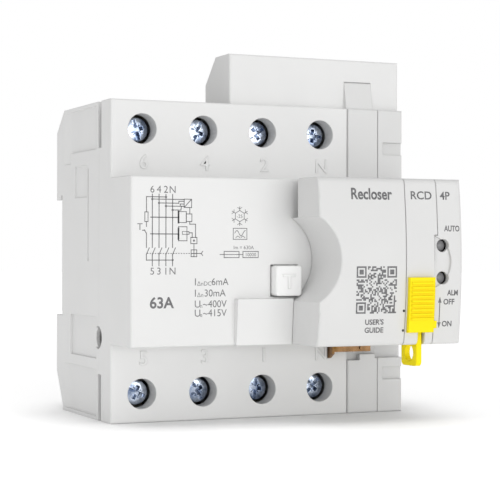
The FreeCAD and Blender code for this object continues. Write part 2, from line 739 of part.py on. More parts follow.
trip_spring = coil_spring(1.75, 0.2, collar_x - relay_right - 0.1, 4)
trip_spring.rotate(V(0, 0, 0), V(0, 1, 0), 90)
save("trip_spring", moved(trip_spring, relay_right + 0.05, plunger_y, relay_z))

# ---- Test button and spring ----
button_x = (button_left + button_right) / 2
button_back = nose_y + wall + 3.2
button = box(button_left, button_right, nose_y - button_proud, button_back, button_low, button_high)
button = rounded(button, 0.9,
                 lambda e: abs(e.BoundBox.YLength - (button_back - nose_y + button_proud)) < 1e-6)
button = rounded(button, 0.5, lambda e: abs(middle(e).y - nose_y + button_proud) < 1e-6)
flange = box(button_left - 0.9, button_right + 0.9, nose_y + wall + 0.1, nose_y + wall + 1.1,
             button_low - 0.9, button_high + 0.9)
save("test_button", joined([button, flange]))
test_spring = coil_spring(2.2, 0.3, board_y - button_back - 0.1, 5)
test_spring.rotate(V(0, 0, 0), V(1, 0, 0), 90)
save("test_spring", moved(test_spring, button_x, board_y - 0.05, button_mid_z))

# ---- Housing screws ----
screws = []
for x in housing_screw_x:
    for sign in (1, -1):
        z = sign * housing_screw_z
        head = rod_y(x, foot_depth - 2.8, foot_depth - 0.4, z, 2.6)
        shank = rod_y(x, shoulder_y + 3.2, foot_depth - 2.8, z, housing_screw_radius)
        recess = box(x - 0.4, x + 0.4, foot_depth - 1.4, foot_depth, z - 1.8, z + 1.8)
        screws.append(joined([head, shank]).cut(recess))
save("housing_screws", Part.makeCompound(screws))

# ---- Recloser: the two shells ----
split_x = seam_x + split_offset
recess_low = -half_nose - 5.7
recess_depth = 2.0
tab_low = recess_low + 1.2
notch_step = 0.5
tab_x0 = seam_x + 4.0
tab_x1 = seam_x + 9.0
shell_inner_left = recloser_left + recloser_wall
shell_inner_right = right_x - recloser_wall


def recloser_body(inset):
    """Outer form of the recloser, shrunk by the inset: base plus bowed nose."""
    base = prism_x(base_outline(inset), recloser_left + inset, right_x - inset)
    nose = bowed_block(recloser_left + inset, right_x - inset, inset, shoulder_y + 4 + inset)
    return base.fuse(nose).removeSplitter()


nose_form = bowed_block(recloser_left, right_x, 0, shoulder_y + 1)
front_edge = cover_y - arch_rise / 2
nose_form = rounded(nose_form, cover_radius,
                    lambda e: middle(e).y < front_edge + 2 and middle(e).x > seam_x + 1)
shoulder_form = prism_x(base_outline(), recloser_left, right_x)
shoulder_form = rounded(shoulder_form, edge_radius, lambda e: abs(middle(e).y - shoulder_y) < 1e-6)
recess = box(seam_x - 1, right_x + 1, shoulder_y - 1, shoulder_y + recess_depth, recess_low, -half_nose)
tab = box(tab_x0, tab_x1, shoulder_y - 1, shoulder_y + recess_depth, recess_low, tab_low)
notch = box(seam_x - 1, tab_x0, shoulder_y - 1, shoulder_y + recess_depth, recess_low - notch_step,
            recess_low)
shoulder_form = shoulder_form.cut([recess.cut(tab), notch])
grip_notches = both_ends(lambda: box(right_x - 6.5, right_x + 1, shoulder_y - 1, shoulder_y + 1.0,
                                     half_height - 13.1, half_height - 9.5))
shoulder_form = shoulder_form.cut(grip_notches)
recess_back = box(recloser_left, right_x, shoulder_y + recess_depth, shoulder_y + recess_depth + wall,
                  recess_low - wall, -half_nose + wall)
gusset = prism_x([(shoulder_y + block_setback, half_height - 1),
                  (shoulder_y + block_setback, half_height + 8),
                  (shoulder_y + 1.2, half_height), (shoulder_y + 1.2, half_height - 1)],
                 recloser_left, seam_x + split_offset - 1.0)
shells = joined([nose_form, shoulder_form, gusset]).cut(recloser_body(recloser_wall))
shells = joined([shells, recess_back])

# Bosses and screws that join the shells, as (y, z)
shell_screw_places = [(shoulder_y + 6.0, half_height - 6.0), (shoulder_y + 6.0, -half_height + 6.0),
                      (-7.0, half_height - 9.0), (-7.0, -half_height + 9.0)]
shell_screw_radius = 1.25
for y, z in shell_screw_places:
    shells = shells.fuse(rod_x(recloser_left, right_x, y, z, 2.6))
gear_y = toggle_y + sector_module * (sector_teeth + gear_small_teeth) / 2
gear_distance = gear_module * (gear_big_teeth + motor_teeth) / 2
motor_z = -gear_distance
motor_x1 = shell_inner_right - 2.0
motor_seat = box(split_x + 1.5, shell_inner_right + 0.2, gear_y - 6.0, gear_y + 6.0,
                 motor_z - motor_radius - 2.0, motor_z).cut(
    rod_x(split_x, right_x, gear_y, motor_z, motor_radius + 0.1))
shells = joined([shells, motor_seat])
shell_cuts = [latch_groove(recloser_latch_x)] + seat_reliefs(recloser_left - 1, right_x + 1)
for y, z in shell_screw_places:
    shell_cuts.append(rod_x(split_x, right_x + 1, y, z, shell_screw_radius + 0.1))
    shell_cuts.append(rod_x(right_x - recloser_wall, right_x + 1, y, z, 2.4))
    shell_cuts.append(rod_x(recloser_left + 2.6, split_x, y, z, shell_screw_radius))
for y in (toggle_y, gear_y):
    shell_cuts.append(rod_x(recloser_left + 0.8, right_x - 0.8, y, 0, axle_radius))

# Slots for the slider's stem and for the padlock tongue, and the windows of the lenses
slider_x0 = seam_x + slider_inset
slider_x1 = slider_x0 + slider_width
tongue_x0 = slider_x0 + 3.9
tongue_x1 = tongue_x0 + tongue_thickness
stem_x0 = slider_x0 + 2.0
stem_x1 = tongue_x0 - 0.4
stem_z0 = slider_bottom + slider_travel + 0.4
stem_z1 = slider_top - slider_travel - 0.3
tongue_y0 = cover_y + 0.8
tongue_y1 = tongue_y0 + tongue_depth
tongue_z0 = -half_nose - tongue_drop
slot_top = stem_z1 + slider_travel + 0.2
tongue_z1 = slot_top - slider_travel - tongue_travel - 0.1
shell_cuts.append(box(stem_x0 - 0.2, tongue_x1 + 0.4, cover_y - 4, cover_y + 4, stem_z0 - 0.2, slot_top))
shell_cuts.append(box(tongue_x0 - 0.2, tongue_x1 + 0.4, cover_y - 4, tongue_y1 + 1.2, -half_nose - 1,
                      slot_top))
lens_x = right_x - 6.5
lens_places = [(lens_x, lens_spacing / 2), (lens_x, -lens_spacing / 2)]
for x, z in lens_places:
    shell_cuts.append(rod_y(x, cover_y - 4, cover_y + 6, z, lens_radius))
scallop_left = split_x - split_step
scallop_right = scallop_left + 5.1
scallop_half = 7.0
scallop_radius = (((scallop_right - scallop_left) ** 2 + scallop_half ** 2)
                  / (2 * (scallop_right - scallop_left)))
scallop = rod_y(scallop_right - scallop_radius, cover_y - 4, cover_y - arch_rise + 0.7, 0, scallop_radius)
shell_cuts.append(scallop.common(box(scallop_left, right_x, cover_y - 4, cover_y, -half_nose, half_nose)))

# Arc-shaped window in the left wall for the coupling bar, and windows for the cover's hooks
slot_half_width = coupling_bar_radius + 0.4
slot_ring = rod_x(recloser_left - 1, shell_inner_left + 0.01, toggle_y, 0,
                  bar_radius_from_axis + slot_half_width)
slot_ring = slot_ring.cut(rod_x(recloser_left - 1, shell_inner_left + 0.01, toggle_y, 0,
                                bar_radius_from_axis - slot_half_width))
slot_reach = lever_length + 8
slot_angle = math.radians(half_swing + 2)
wedge = prism_x([(toggle_y, 0), (toggle_y - slot_reach, slot_reach * math.tan(slot_angle)),
                 (toggle_y - slot_reach, -slot_reach * math.tan(slot_angle))],
                recloser_left - 1, shell_inner_left + 0.01)
shell_cuts.append(slot_ring.common(wedge))
for sign in (1, -1):
    end = turned(rod_x(recloser_left - 1, shell_inner_left + 0.01, toggle_y - bar_radius_from_axis, 0,
                       slot_half_width), sign * (half_swing + 2), toggle_y, 0)
    shell_cuts.append(end)
hook_y = (cover_y + 4.6, cover_y + 6.6)
hook_z = (half_nose - 7.2, half_nose - 4.2)
shell_cuts += both_ends(lambda: box(recloser_left - 1, shell_inner_left + 0.01, hook_y[0] - 0.1,
                                    hook_y[1] + 0.1,
                                    hook_z[0] - 0.1, hook_z[1] + 0.1))
peg_radius = 1.5
peg_y = shoulder_y + block_setback + 10.0
peg_x = [seam_x + 4.7, right_x - 4.2]
for x in peg_x:
    shell_cuts.append(rod_z(x, peg_y, half_height - 2 * wall, half_height + 1, peg_radius + running_gap))
supply_slot_z = (-half_nose - 3.6, -half_nose - 1.3)
supply_slot_x = seam_x + 6.0
shell_cuts.append(box(supply_slot_x - link_plate - 0.1, supply_slot_x + 0.1, shoulder_y - 1,
                      shoulder_y + recess_depth + wall + 0.01, supply_slot_z[0], supply_slot_z[1]))
shells = shells.cut(shell_cuts)

# The joint of the shells steps left below the scallop's top, and shows as a fine groove.
groove_core = recloser_body(seam_depth)
split_groove = box(split_x - seam_gap / 2, split_x + seam_gap / 2, cover_y - 5, foot_depth + 1,
                   -half_height - 1, half_height + 1)
step_region = box(split_x - split_step, split_x, cover_y - 5, nose_y, -half_nose - 1, split_step_height)
step_groove = joined([
    box(split_x - split_step - seam_gap / 2, split_x - split_step + seam_gap / 2, cover_y - 5, nose_y,
        -half_nose - 1, split_step_height + seam_gap / 2),
    box(split_x - split_step, split_x, cover_y - 5, nose_y, split_step_height - seam_gap / 2,
        split_step_height + seam_gap / 2),
])
plain_groove = split_groove.cut(box(split_x - 2, split_x + 2, cover_y - 5, nose_y,
                                    -half_nose - 1, split_step_height - seam_gap / 2))
shells = shells.cut(plain_groove.fuse(step_groove).cut(groove_core))
left_region = box(recloser_left - 1, split_x, cover_y - 5, foot_depth + 1, -half_height - 1,
                  half_height + block_height).cut(step_region)


def largest_solid(shape):
    return max(shape.Solids, key=lambda solid: solid.Volume)


save("recloser_left_shell", largest_solid(shells.common(left_region)))
save("recloser_right_shell", largest_solid(shells.cut(left_region)))

screws = []
for y, z in shell_screw_places:
    head = rod_x(right_x - recloser_wall, right_x - 0.3, y, z, 2.2)
    shank = rod_x(recloser_left + 2.9, right_x - recloser_wall, y, z, shell_screw_radius)
    screws.append(joined([head, shank]).cut(box(right_x - 0.9, right_x, y - 0.35, y + 0.35, z - 1.6,
                                                z + 1.6)))
save("recloser_screws", Part.makeCompound(screws))

# ---- Linkage cover ----
cover_gap = 0.3
cover_back = nose_y - cover_gap
bite = (cover_left - bite_offset, bite_height)
cover_form = bowed_block(cover_left, breaker_right, 0, cover_back)
cover_form = rounded(cover_form, cover_radius, lambda e: middle(e).y < front_edge + 2
                     and abs(e.BoundBox.XLength - (breaker_right - cover_left)) < 1e-6)
cover_form = cover_form.cut(rod_y(bite[0], cover_y - 5, nose_y + 1, bite[1], bite_radius))
cover_form = rounded(cover_form, 0.5, lambda e: middle(e).x < cover_left + bite_radius
                     and middle(e).y < front_edge + 1 and e.BoundBox.ZLength > 4)
cover_room = bowed_block(cover_left + wall, breaker_right + 1, wall, cover_back + 1)
cover_room = cover_room.cut(rod_y(bite[0], cover_y - 5, nose_y + 1, bite[1], bite_radius + wall))
bite_top = bite_height + math.sqrt(bite_radius ** 2 - bite_offset ** 2)
undercut = box(cover_left - 1, cover_left + wall + 0.5, nose_y - 4.5, nose_y, bite_top, half_nose + 1)
hooks = both_ends(lambda: box(breaker_right - 4.0, shell_inner_left + 0.3, hook_y[0], hook_y[1],
                              hook_z[0], hook_z[1]))
hook_roots = both_ends(lambda: box(breaker_right - 4.0, breaker_right - 2.2, hook_y[0], hook_y[1],
                                   hook_z[0], half_nose - 1.0))
cover = joined([cover_form.cut([cover_room, undercut])] + hooks + hook_roots)
save("linkage_cover", cover)

# ---- Mode slider and padlock tongue ----
slide_gap = 0.1
plate = arched_shell(arch_radius + slider_proud, arch_radius + slide_gap, slider_x0, slider_x1,
                     slider_bottom, slider_top)
ribs = []
for index in range(rib_count):
    z = slider_top - 1.6 - rib_pitch * index
    ribs.append(arched_shell(arch_radius + slider_proud + rib_height, arch_radius + slide_gap,
                             slider_x0 + 0.5, slider_x1 - 0.4, z - rib_pitch / 4, z + rib_pitch / 4))
pointer = arched_shell(arch_radius + slider_proud - 0.3, arch_radius + slide_gap, slider_x1 - 0.2,
                       slider_x1 + 1.0, slider_bottom + 1.1, slider_bottom + 3.1)
stem = box(stem_x0, stem_x1, cover_y - arch_rise, cover_y + 3.3, stem_z0, stem_z1)
keeper = box(stem_x0 - 0.6, stem_x1 + 0.2, cover_y + 2.1, cover_y + 3.3, stem_z0, stem_z1)
save("mode_slider", joined([plate, pointer, stem, keeper] + ribs))

tongue = box(tongue_x0, tongue_x1, tongue_y0, tongue_y1, tongue_z0, tongue_z1)
tongue = rounded(tongue, 1.3, lambda e: abs(middle(e).z - tongue_z0) < 1e-6
                 and abs(e.BoundBox.XLength - tongue_thickness) < 1e-6)
padlock_y = (tongue_y0 + tongue_y1) / 2
padlock_z = tongue_z0 + padlock_rim + padlock_hole_d / 2
save("padlock_tongue", tongue.cut(rod_x(tongue_x0 - 1, tongue_x1 + 1, padlock_y, padlock_z,
                                        padlock_hole_d / 2)))

# ---- Status lenses, control board and mode switch ----
lens_front = cover_y - arch_rise + 0.7 + 0.3
lenses = [rod_y(x, lens_front, cover_y + 5.2, z, lens_radius - running_gap) for x, z in lens_places]
save("status_lenses", Part.makeCompound(lenses))
control_x0 = shell_inner_right - 3.4
control_x1 = control_x0 + 1.2
control_board = joined([
    box(control_x0, control_x1, cover_y + 5.5, -12.0, 3.0, half_nose - recloser_wall - 1.4),
    box(control_x0, control_x1, cover_y + 5.5, cover_y + 14.5, -8.0, 3.0),
    box(control_x0 - 2.5, control_x0, gear_y - 4.0, gear_y + 8.0, 13.5, 18.0),
    box(control_x0 - 1.5, control_x0, cover_y + 18.0, cover_y + 26.0, 8.0, 16.0),
])
save("control_board", control_board)
mode_switch = joined([
    box(tongue_x1 + 0.6, split_x - split_step - 0.5, cover_y + 3.0, cover_y + 10.0, 5.0, 14.0),
    box(tongue_x1 + 1.0, tongue_x1 + 1.6, cover_y + 3.6, cover_y + 9.0, 4.0, 5.0),
])
save("mode_switch", mode_switch)


# ---- Motor, gears, axles, drive lever and coupling bar ----
def gear_outline(module, teeth, first, last, tooth_at):
    """Involute outline of teeth number first to last; tooth zero points along tooth_at degrees."""
    pressure = math.radians(20)
    pitch_radius = module * teeth / 2
    base_radius = pitch_radius * math.cos(pressure)
    tip_radius = pitch_radius + 0.8 * module
    root_radius = pitch_radius - 1.2 * module
    involute_at_pitch = math.tan(pressure) - pressure
    half_tooth = math.pi / (2 * teeth) - backlash / (2 * pitch_radius)
    start_radius = max(base_radius, root_radius)
    flank = []
    steps = 4
    for step in range(steps + 1):
        radius = start_radius + (tip_radius - start_radius) * step / steps
        turn = math.acos(min(1.0, base_radius / radius))
        flank.append((radius, half_tooth + involute_at_pitch - (math.tan(turn) - turn)))
    flank.insert(0, (root_radius - 0.02, flank[0][1]))
    points = []
    for number in range(first, last + 1):
        centre = math.radians(tooth_at) + 2 * math.pi * number / teeth
        points += [(radius, centre - angle) for radius, angle in flank]
        points += [(radius, centre + angle) for radius, angle in reversed(flank)]
    return [(radius * math.cos(angle), radius * math.sin(angle)) for radius, angle in points]


def gear(module, teeth, x0, x1, y, z, tooth_at):
    outline = gear_outline(module, teeth, 0, teeth - 1, tooth_at)
    return prism_x([(y + u, z + v) for u, v in outline], x0, x1)


lever_x0 = shell_inner_left + 0.2
lever_x1 = lever_x0 + lever_thickness
gear_x0 = lever_x1 + 1.7
gear_x1 = gear_x0 + gear_thickness
motor_x0 = gear_x1 + 0.6
sector_span = 4
sector_points = gear_outline(sector_module, sector_teeth, -sector_span, sector_span, 0)
sector_outline = [(toggle_y, -3.0)] + [(toggle_y + u, v) for u, v in sector_points] + [(toggle_y, 3.0)]
sector = prism_x(sector_outline, lever_x0, lever_x1)
lever_arm = bar_between(lever_x0, lever_x1, (toggle_y, 0), (toggle_y - bar_radius_from_axis, 0), 3.4)
hub = rod_x(lever_x0, lever_x1 + 1.2, toggle_y, 0, 4.0)
drive_lever = joined([sector, lever_arm, hub]).cut([
    rod_x(lever_x0 - 1, lever_x1 + 2, toggle_y, 0, axle_radius + running_gap),
    rod_x(lever_x0 - 1, lever_x1 + 2, toggle_y - bar_radius_from_axis, 0, coupling_bar_radius)])
save("drive_lever", lowered(drive_lever))
coupling_bar = rod_x(toggle_left + 0.5, lever_x1, toggle_y - bar_radius_from_axis, 0, coupling_bar_radius)
save("coupling_bar", lowered(coupling_bar))

gear_ratio = sector_teeth / gear_small_teeth
motor_ratio = gear_ratio * gear_big_teeth / motor_teeth
small_gear = gear(sector_module, gear_small_teeth, lever_x0, lever_x1 + 0.2, gear_y, 0,
                  180.0 / gear_small_teeth)
big_gear = gear(gear_module, gear_big_teeth, gear_x0, gear_x1, gear_y, 0, -90.0)
sleeve = rod_x(lever_x1, gear_x0 + 0.2, gear_y, 0, 3.2)
reduction_gear = joined([small_gear, sleeve, big_gear])
reduction_gear = reduction_gear.cut(rod_x(lever_x0 - 1, gear_x1 + 1, gear_y, 0, axle_radius + running_gap))
save("reduction_gear", turned(reduction_gear, -gear_ratio * half_swing, gear_y, 0))
axle_x0 = recloser_left + 0.8
axle_x1 = right_x - 0.8
save("gear_axles", Part.makeCompound([rod_x(axle_x0, axle_x1, y, 0, axle_radius)
                                      for y in (toggle_y, gear_y)]))

pinion = gear(gear_module, motor_teeth, gear_x0 + 0.1, gear_x1 - 0.1, gear_y, motor_z,
              90.0 + 180.0 / motor_teeth)
pinion = joined([pinion, rod_x(gear_x0 - 0.4, motor_x0 + 1.5, gear_y, motor_z, 0.8)])
save("motor_pinion", turned(pinion, motor_ratio * half_swing, gear_y, motor_z))
motor = rod_x(motor_x0, motor_x1, gear_y, motor_z, motor_radius)
motor = motor.cut(rod_x(motor_x0 - 1, motor_x0 + 1.8, gear_y, motor_z, 0.8 + running_gap))
save("motor", motor)

# ---- Copper supply link below the arched cover ----
link_y0 = shoulder_y - 2.8
link_y1 = link_y0 + link_plate
link_low = supply_slot_z[0] + 0.1
link_high = supply_slot_z[1] - 0.1
strip = box(link_x0, supply_slot_x, link_y0, link_y1, link_low, link_high)
left_leg = prism_x([(link_y0, link_high), (shoulder_y + wall + 1.5, link_high),
                    (shoulder_y + wall + 1.5, link_slot_z[0] + 0.1),
                    (shoulder_y - 0.6, link_slot_z[0] + 0.1),
                    (link_y0, link_slot_z[0] + 1.4)], link_x0, link_x0 + link_plate)
right_leg = box(supply_slot_x - link_plate, supply_slot_x, link_y0, shoulder_y + recess_depth + wall + 1.5,
                link_low, link_high)
rivet = rod_y(supply_slot_x - 3.0, link_y0 - 0.4, link_y1, (link_low + link_high) / 2, 0.6)
save("supply_link", joined([strip, left_leg, right_leg, rivet]))

# ---- Supply block on top ----
block_x0 = right_x - block_modules * module_width
block_y0 = shoulder_y + block_setback
block_y1 = block_y0 + block_depth
block_top = half_height + block_height


def block_outline(inset):
    return [(block_y0 + inset, half_height - (1 if inset else 0)),
            (block_y1 - inset, half_height - (1 if inset else 0)),
            (block_y1 - inset, block_top - block_chamfer_z - inset * 0.4),
            (block_y1 - block_chamfer_y - inset * 0.4, block_top - inset),
            (block_y0 + inset, block_top - inset)]


block = prism_x(block_outline(0.0), block_x0, right_x)
block = rounded(block, edge_radius,
                lambda e: middle(e).z > half_height + 1 and abs(middle(e).y - block_y0) < 1e-6)
block = block.cut(prism_x(block_outline(recloser_wall), block_x0 + recloser_wall, right_x - recloser_wall))
save("supply_block_housing", block)
base_gap = 0.05
floor_x0 = block_x0 + recloser_wall + base_gap
floor_x1 = right_x - recloser_wall - base_gap
floor_plate = box(floor_x0, floor_x1, block_y0 + recloser_wall + base_gap,
                  block_y1 - recloser_wall - base_gap,
                  half_height, half_height + 1.6)
pegs = [rod_z(x, peg_y, half_height - wall, half_height + 0.5, peg_radius) for x in peg_x]
floor_plate = joined([floor_plate] + pegs)
floor_plate = floor_plate.cut([box(x - 1.6, x + 1.6, pin_y - 0.5, pin_y + 0.5, half_height - 1,
                                   half_height + 3)
                               for x in pin_x])
save("supply_block_base", floor_plate)
save("supply_pins", Part.makeCompound([
    box(x - 1.5, x + 1.5, pin_y - 0.4, pin_y + 0.4, screw_z + screw_head_d / 2 + 1.2, half_height + 6.0)
    for x in pin_x]))
supply_board_y = block_y0 + 8.0
supply_board = joined([
    box(block_x0 + 4, right_x - 4, supply_board_y, supply_board_y + 1.6, half_height + 1.6, block_top - 3.2),
    box(block_x0 + 8, block_x0 + 20, supply_board_y + 1.6, supply_board_y + 5.6, half_height + 2.4,
        half_height + 7.0),
    box(right_x - 22, right_x - 10, supply_board_y - 4.0, supply_board_y, half_height + 2.4,
        half_height + 9.0),
])
save("supply_block_board", supply_board)
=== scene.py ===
import bpy
import math
import random
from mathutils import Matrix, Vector


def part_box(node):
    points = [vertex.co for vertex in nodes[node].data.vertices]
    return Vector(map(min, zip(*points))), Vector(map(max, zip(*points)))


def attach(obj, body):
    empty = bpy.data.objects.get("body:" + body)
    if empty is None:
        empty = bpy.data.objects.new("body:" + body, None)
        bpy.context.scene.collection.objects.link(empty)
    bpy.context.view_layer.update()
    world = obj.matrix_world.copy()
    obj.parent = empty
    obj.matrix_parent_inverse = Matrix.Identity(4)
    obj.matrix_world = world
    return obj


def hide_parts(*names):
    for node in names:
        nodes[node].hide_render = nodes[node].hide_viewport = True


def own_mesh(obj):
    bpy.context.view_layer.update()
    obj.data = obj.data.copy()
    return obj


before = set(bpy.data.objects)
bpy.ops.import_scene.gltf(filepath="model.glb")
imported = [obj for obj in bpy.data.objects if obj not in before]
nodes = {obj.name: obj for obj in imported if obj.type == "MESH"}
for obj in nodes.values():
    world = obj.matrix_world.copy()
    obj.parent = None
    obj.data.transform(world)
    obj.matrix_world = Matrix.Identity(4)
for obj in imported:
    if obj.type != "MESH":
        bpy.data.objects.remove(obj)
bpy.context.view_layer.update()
bpy.ops.object.select_all(action="DESELECT")
MM = 0.001

# ---------------------------------------------------------------- camera and studio
# The breaker stands upright on a pale table, seen from a little to its left at mid height.
# A broad softbox and a long low one light the front, others the left side and the top, and the
# white room fills the shadows. The table's paper glows, less so right around the breaker.
camera_data = bpy.data.cameras.new("camera")
camera_data.lens = 111.9
camera_data.clip_end = 10
camera = bpy.data.objects.new("camera", camera_data)
camera.location = (-0.1819, -0.4420, 0.0028)
camera.rotation_euler = (math.radians(90.04), math.radians(-0.09), math.radians(-24.10))
bpy.context.scene.collection.objects.link(camera)
bpy.context.scene.camera = camera
bpy.context.scene.view_settings.view_transform = "Standard"


def softbox(name, place, aim, width, height, watts):
    """Rectangular lamp that faces the aim point."""
    data = bpy.data.lights.new(name, "AREA")
    data.shape = "RECTANGLE"
    data.size = width
    data.size_y = height
    data.energy = watts
    lamp = bpy.data.objects.new(name, data)
    lamp.location = place
    lamp.rotation_euler = (Vector(aim) - Vector(place)).to_track_quat("-Z", "Y").to_euler()
    bpy.context.scene.collection.objects.link(lamp)


softbox("front_softbox", (0.15, -1.15, 0.50), (0, -0.05, 0), 1.1, 1.1, 1.7)
softbox("low_front_softbox", (0.15, -1.2, 0.08), (0, -0.05, -0.02), 1.0, 0.2, 2.5)
softbox("left_softbox", (-1.1, -0.35, 0.35), (0, -0.03, 0), 0.6, 0.8, 0.45)
softbox("top_softbox", (-0.30, -0.40, 1.05), (0, -0.02, 0), 0.8, 0.8, 2.2)

# The room lights the breaker softly, and shows as plain white behind it
world = bpy.data.worlds.new("white_room")
bpy.context.scene.world = world
world.use_nodes = True
world_nodes = world.node_tree.nodes
world_links = world.node_tree.links
room_light = world_nodes["Background"]
seen_room = world_nodes.new("ShaderNodeBackground")
for background, strength in ((room_light, 0.54), (seen_room, 1.0)):
    background.inputs["Color"].default_value = (1, 1, 1, 1)
    background.inputs["Strength"].default_value = strength
room_path = world_nodes.new("ShaderNodeLightPath")
room_mix = world_nodes.new("ShaderNodeMixShader")
world_links.new(room_path.outputs["Is Camera Ray"], room_mix.inputs[0])
world_links.new(room_light.outputs[0], room_mix.inputs[1])
world_links.new(seen_room.outputs[0], room_mix.inputs[2])
world_links.new(room_mix.outputs[0], world_nodes["World Output"].inputs["Surface"])


def graph(material):
    """Clears the way to the shader of a new node material."""
    material.use_nodes = True
    tree = material.node_tree
    return tree.nodes, tree.links, tree.nodes["Principled BSDF"]


# Round table, just under the breaker's lowest face
TABLE_Z = -44.02
TABLE_RADIUS = 3.0
bpy.ops.mesh.primitive_circle_add(vertices=96, radius=TABLE_RADIUS, fill_type="NGON",
                                  location=(0, 0, TABLE_Z * MM))
table = bpy.context.object
table.name = "table"
bpy.ops.object.transform_apply(location=True, rotation=True, scale=True)
paper = bpy.data.materials.new("table_paper")
paper_nodes, paper_links, paper_shader = graph(paper)
paper_shader.inputs["Base Color"].default_value = (0.9, 0.9, 0.9, 1)
paper_shader.inputs["Roughness"].default_value = 0.85
paper_shader.inputs["Specular IOR Level"].default_value = 0.1
paper_shader.inputs["Emission Color"].default_value = (1, 1, 1, 1)

# The paper's painted glow is stronger far from the breaker, and painted contact shade dims it where
# the breaker stands on it
paper_place = paper_nodes.new("ShaderNodeTexCoord")
paper_spot = paper_nodes.new("ShaderNodeTexGradient")
paper_spot.gradient_type = "QUADRATIC_SPHERE"
paper_glow = paper_nodes.new("ShaderNodeMapRange")
paper_glow.inputs["To Min"].default_value = 0.56
paper_glow.inputs["To Max"].default_value = 0.36
paper_links.new(paper_place.outputs["Object"], paper_spot.inputs["Vector"])
paper_links.new(paper_spot.outputs["Fac"], paper_glow.inputs["Value"])
paper_shade = paper_nodes.new("ShaderNodeAmbientOcclusion")
paper_shade.samples = 12
paper_shade.inputs["Distance"].default_value = 0.03
paper_open = paper_nodes.new("ShaderNodeMapRange")
paper_open.inputs["From Min"].default_value = 0.45
paper_open.inputs["From Max"].default_value = 0.92
paper_lit = paper_nodes.new("ShaderNodeMath")
paper_lit.operation = "MULTIPLY"
paper_links.new(paper_shade.outputs["AO"], paper_open.inputs["Value"])
paper_links.new(paper_glow.outputs["Result"], paper_lit.inputs[0])
paper_links.new(paper_open.outputs["Result"], paper_lit.inputs[1])
paper_links.new(paper_lit.outputs["Value"], paper_shader.inputs["Emission Strength"])
table.data.materials.append(paper)

# ---------------------------------------------------------------- breaker housings
# Front and rear halves of the four-pole breaker, injection moulded in light grey fire-resistant
# plastic with a fine spark-eroded grain, closed by four long screws from the rail side.


def noise(tree_nodes, links, scale, detail, rough=0.55):
    """Noise that follows the object's own millimetres."""
    place = tree_nodes.get("Place") or tree_nodes.new("ShaderNodeTexCoord")
    place.name = "Place"
    pattern = tree_nodes.new("ShaderNodeTexNoise")
    pattern.inputs["Scale"].default_value = scale
    pattern.inputs["Detail"].default_value = detail
    pattern.inputs["Roughness"].default_value = rough
    links.new(place.outputs["Object"], pattern.inputs["Vector"])
    return pattern


def spread(tree_nodes, links, source, low, high):
    """Maps the middle of a noise's values, 0.35 to 0.65, to a range."""
    ranged = tree_nodes.new("ShaderNodeMapRange")
    ranged.inputs["From Min"].default_value = 0.35
    ranged.inputs["From Max"].default_value = 0.65
    ranged.inputs["To Min"].default_value = low
    ranged.inputs["To Max"].default_value = high
    links.new(source, ranged.inputs["Value"])
    return ranged.outputs["Result"]


def tinted(tree_nodes, links, factor, first, second):
    """Blend of two colours."""
    mix = tree_nodes.new("ShaderNodeMix")
    mix.data_type = "RGBA"
    links.new(factor, mix.inputs["Factor"])
    mix.inputs["A"].default_value = (*first, 1)
    mix.inputs["B"].default_value = (*second, 1)
    return mix.outputs["Result"]


def bumped(tree_nodes, links, height, strength, distance, under=None):
    """Bump from a height, on top of another bump if one is given."""
    bump = tree_nodes.new("ShaderNodeBump")
    bump.inputs["Strength"].default_value = strength
    bump.inputs["Distance"].default_value = distance
    links.new(height, bump.inputs["Height"])
    if under is not None:
        links.new(under, bump.inputs["Normal"])
    return bump.outputs["Normal"]


DRIFT_SCALE = 38
SINK_SCALE = 110
GRAIN_SCALE = 2600


def moulded_plastic(name, colour, shade, gloss, grain=0.12, specular=0.4, edge=0.35):
    """Plastic with slow colour drift, sink marks, fine eroded grain and softened edges (mm)."""
    material = bpy.data.materials.new(name)
    tree_nodes, links, shader = graph(material)
    drift = spread(tree_nodes, links, noise(tree_nodes, links, DRIFT_SCALE, 3).outputs["Fac"], 0, 1)
    links.new(tinted(tree_nodes, links, drift, colour, shade), shader.inputs["Base Color"])
    fine = noise(tree_nodes, links, GRAIN_SCALE, 4, 0.6)
    sink = noise(tree_nodes, links, SINK_SCALE, 1)
    links.new(spread(tree_nodes, links, fine.outputs["Fac"], gloss - 0.05, gloss + 0.07),
              shader.inputs["Roughness"])
    soft_edge = tree_nodes.new("ShaderNodeBevel")
    soft_edge.samples = 6
    soft_edge.inputs["Radius"].default_value = edge * MM
    wavy = bumped(tree_nodes, links, sink.outputs["Fac"], 0.08, 0.00015,
                  soft_edge.outputs["Normal"])
    links.new(bumped(tree_nodes, links, fine.outputs["Fac"], grain, 0.00003, wavy),
              shader.inputs["Normal"])
    shader.inputs["Specular IOR Level"].default_value = specular
    return material


def finish_node(name, material):
    """Gives a carried-over piece its material."""
    mesh = nodes[name].data
    mesh.materials.clear()
    mesh.materials.append(material)


housing_plastic = moulded_plastic("breaker_housing_plastic", (0.765, 0.765, 0.76),
                                  (0.745, 0.745, 0.74), 0.46)
for name in ("rear_housing", "front_housing"):
    finish_node(name, housing_plastic)

# Letters stand on front faces, and their capitals are 0.72 of the text's size
FACING_FRONT = (math.radians(90), 0, 0)
CAPITAL_SHARE = 0.72


def select_only(piece):
    """Selects one piece and makes it active."""
    bpy.ops.object.select_all(action="DESELECT")
    piece.select_set(True)
    bpy.context.view_layer.objects.active = piece


def place_in_mesh(piece):
    """Moves the object's place into its mesh."""
    select_only(piece)
    bpy.ops.object.transform_apply(location=True, rotation=True, scale=True)


